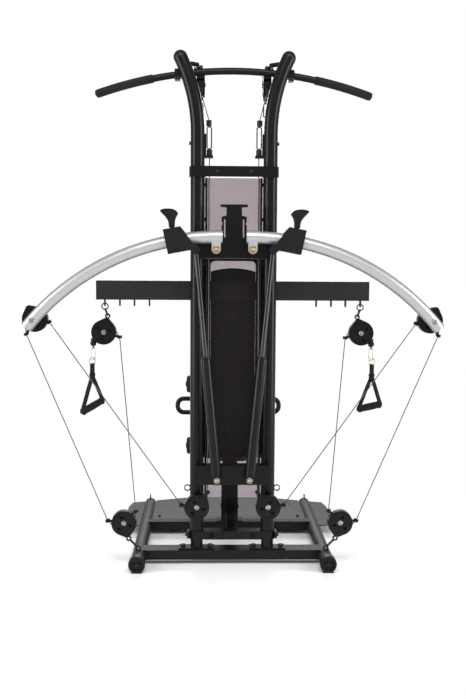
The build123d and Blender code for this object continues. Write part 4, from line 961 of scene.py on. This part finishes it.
def cushion(name, outline, low, high, axis, crown, body, node, channels=()):
    """A crowned pad: outline is a closed loop in the pad's plane, low and high are its faces along axis.

    axis 'Z' lies flat with outline in X and Y; axis 'Y' stands with outline in X and Z."""
    middle = Vector((sum(p[0] for p in outline) / len(outline), sum(p[1] for p in outline) / len(outline)))
    thick = high - low

    def place(u, v, depth):
        return (u, v, depth) if axis == "Z" else (u, depth, v)

    points, faces = [], []
    count = len(outline)
    lines = [(0.965, 0.0), (0.99, 0.06), (1.0, 0.16), (0.995, 0.30), (0.987, 0.40), (0.9985, 0.52),
             (1.0, 0.66), (0.985, 0.82), (0.955, 0.915), (0.90, 0.965), (0.80, 0.985)]
    for scale, rise in lines:
        for u, v in outline:
            spot = middle + (Vector((u, v)) - middle) * scale
            points.append(place(spot.x, spot.y, low + thick * rise * (1 - crown)))
    inner = [0.66, 0.52, 0.38, 0.24, 0.10]
    for scale in inner:
        for u, v in outline:
            spot = middle + (Vector((u, v)) - middle) * scale
            swell = 1 - scale ** 2.2
            depth = low + thick * ((1 - crown) * 0.99 + crown * swell)
            for line, width, sink in channels:
                depth -= sink * math.exp(-((spot.y - line) / width) ** 2)
            points.append(place(spot.x, spot.y, depth))
    total = len(lines) + len(inner)
    for ring in range(total - 1):
        for i in range(count):
            a, b = ring * count + i, ring * count + (i + 1) % count
            faces.append((a, b, b + count, a + count))
    faces.append(tuple(reversed(range(count))))
    points.append(place(middle.x, middle.y, low + thick * ((1 - crown) * 0.99 + crown)))
    last = (total - 1) * count
    faces += [(last + i, last + (i + 1) % count, len(points) - 1) for i in range(count)]
    if axis == "Y":
        faces = [tuple(reversed(face)) for face in faces]
    pad = add_piece(name, join(name, [(points, faces)]), body, VINYL)
    detail = pad.modifiers.new("smooth", "SUBSURF")
    detail.levels = detail.render_levels = 1
    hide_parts(node)
    return pad


def rounded_outline(corners, radius, steps=6):
    """A closed outline with each corner rounded."""
    result = []
    count = len(corners)
    for i, corner in enumerate(corners):
        before, here, after = Vector(corners[i - 1]), Vector(corner), Vector(corners[(i + 1) % count])
        into, out = (before - here), (after - here)
        reach = min(radius, into.length * 0.45, out.length * 0.45)
        a, b = here + into.normalized() * reach, here + out.normalized() * reach
        result += [a.lerp(here, t).lerp(here.lerp(b, t), t) for t in [s / steps for s in range(steps + 1)]]
    spaced = []
    for i, point in enumerate(result):
        following = result[(i + 1) % len(result)]
        spaced.append(point)
        gap = (following - point).length
        for extra in range(1, int(gap / 0.02) + 1):
            spaced.append(point.lerp(following, extra / (int(gap / 0.02) + 1)))
    return spaced


def seat_cushion():
    low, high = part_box("seat_pad")
    back, front = low.y, high.y
    corners = [(-0.062, back), (0.062, back), (0.150, back + 0.150), (0.150, front - 0.030),
               (0.110, front), (-0.110, front), (-0.150, front - 0.030), (-0.150, back + 0.150)]
    channels = ((back + 0.14, 0.006, 0.005),)
    outline = rounded_outline(corners, 0.035)
    cushion("seat_cushion", outline, low.z, high.z, "Z", 0.22, "seat", "seat_pad", channels)


def back_cushion():
    low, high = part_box("back_pad")
    corners = [(low.x, low.z), (high.x, low.z), (high.x, high.z), (low.x, high.z)]
    third = (high.z - low.z) / 3
    channels = tuple((low.z + third * i, 0.007, 0.006) for i in (1, 2))
    outline = rounded_outline(corners, 0.04)
    cushion("back_cushion", outline, low.y, high.y, "Y", 0.2, "frame", "back_pad", channels)


# ---------------------------------------------------------------- mesh screen

def mesh_screen():
    """The stretched mesh panel, rippled by under a millimetre between its two rails."""
    low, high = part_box("mesh_screen")
    across, up = 24, 120
    depth = (low.y + high.y) / 2
    points, faces = [], []
    for row in range(up + 1):
        for column in range(across + 1):
            u, v = column / across, row / up
            x = (2 * u - 1) * (high.x + CLOTH_REACH)
            z = low.z + (high.z - low.z) * v
            sag = 0.0006 * math.sin(math.pi * u) * noise.noise(Vector((x * 9, 0, z * 5)))
            points.append((x, depth + sag, z))
    for row in range(up):
        for column in range(across):
            a = row * (across + 1) + column
            faces.append((a, a + 1, a + across + 2, a + across + 1))
    cloth = add_piece("mesh_cloth", join("mesh_cloth", [(points, faces)]), "frame", MESH)
    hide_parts("mesh_screen")
    hems = []
    for way in (-1, 1):
        x = (high.x - 0.0035) if way > 0 else (low.x + 0.0035)
        path = [(x, depth, low.z + 0.001 + (high.z - low.z - 0.002) * i / 8) for i in range(9)]
        hems.append(sweep(path, tape(0.007, 0.0015)))
    hem = add_piece("mesh_hems", join("mesh_hems", hems), "frame", STRAP)


# ---------------------------------------------------------------- cables to the arms

def span_cable(stem, span):
    """One straight cable between a base pulley and an arm, on each side."""
    (x0, z0), (x1, z1) = span
    for side, way in SIDES:
        start, end = Vector((way * x0, CABLE_Y, z0)), Vector((way * x1, CABLE_Y, z1))
        along = (end - start).normalized()
        path = [start + along * SPAN_GAP + (end - start - along * 2 * SPAN_GAP) * (i / 24) for i in range(25)]
        body = f"{stem}_{side}"
        wire = add_piece(f"{body}_wire", join(f"{body}_wire", [sweep(path, circle(CABLE_R, 12))]),
                         body, CABLE)
        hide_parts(body)
        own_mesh(wire)


# ---------------------------------------------------------------- everything together

add_camera()
add_studio()
add_floor()
finish_nodes()
zinc_bolts_on_arm_ends()
pulley_faces()
nuts()
pull_horns()
arm_sleeves()
back_hoop()
board_screws()
board_skirt()
post_seams()
ball_stops()
thigh_rollers()
leg_lever()
lat_grips()
for side_name, way_out in SIDES:
    handle(side_name, way_out)
seat_cushion()
back_cushion()
mesh_screen()
span_cable("cable_inner", INNER_SPAN)
span_cable("cable_outer", OUTER_SPAN)

bpy.context.view_layer.update()
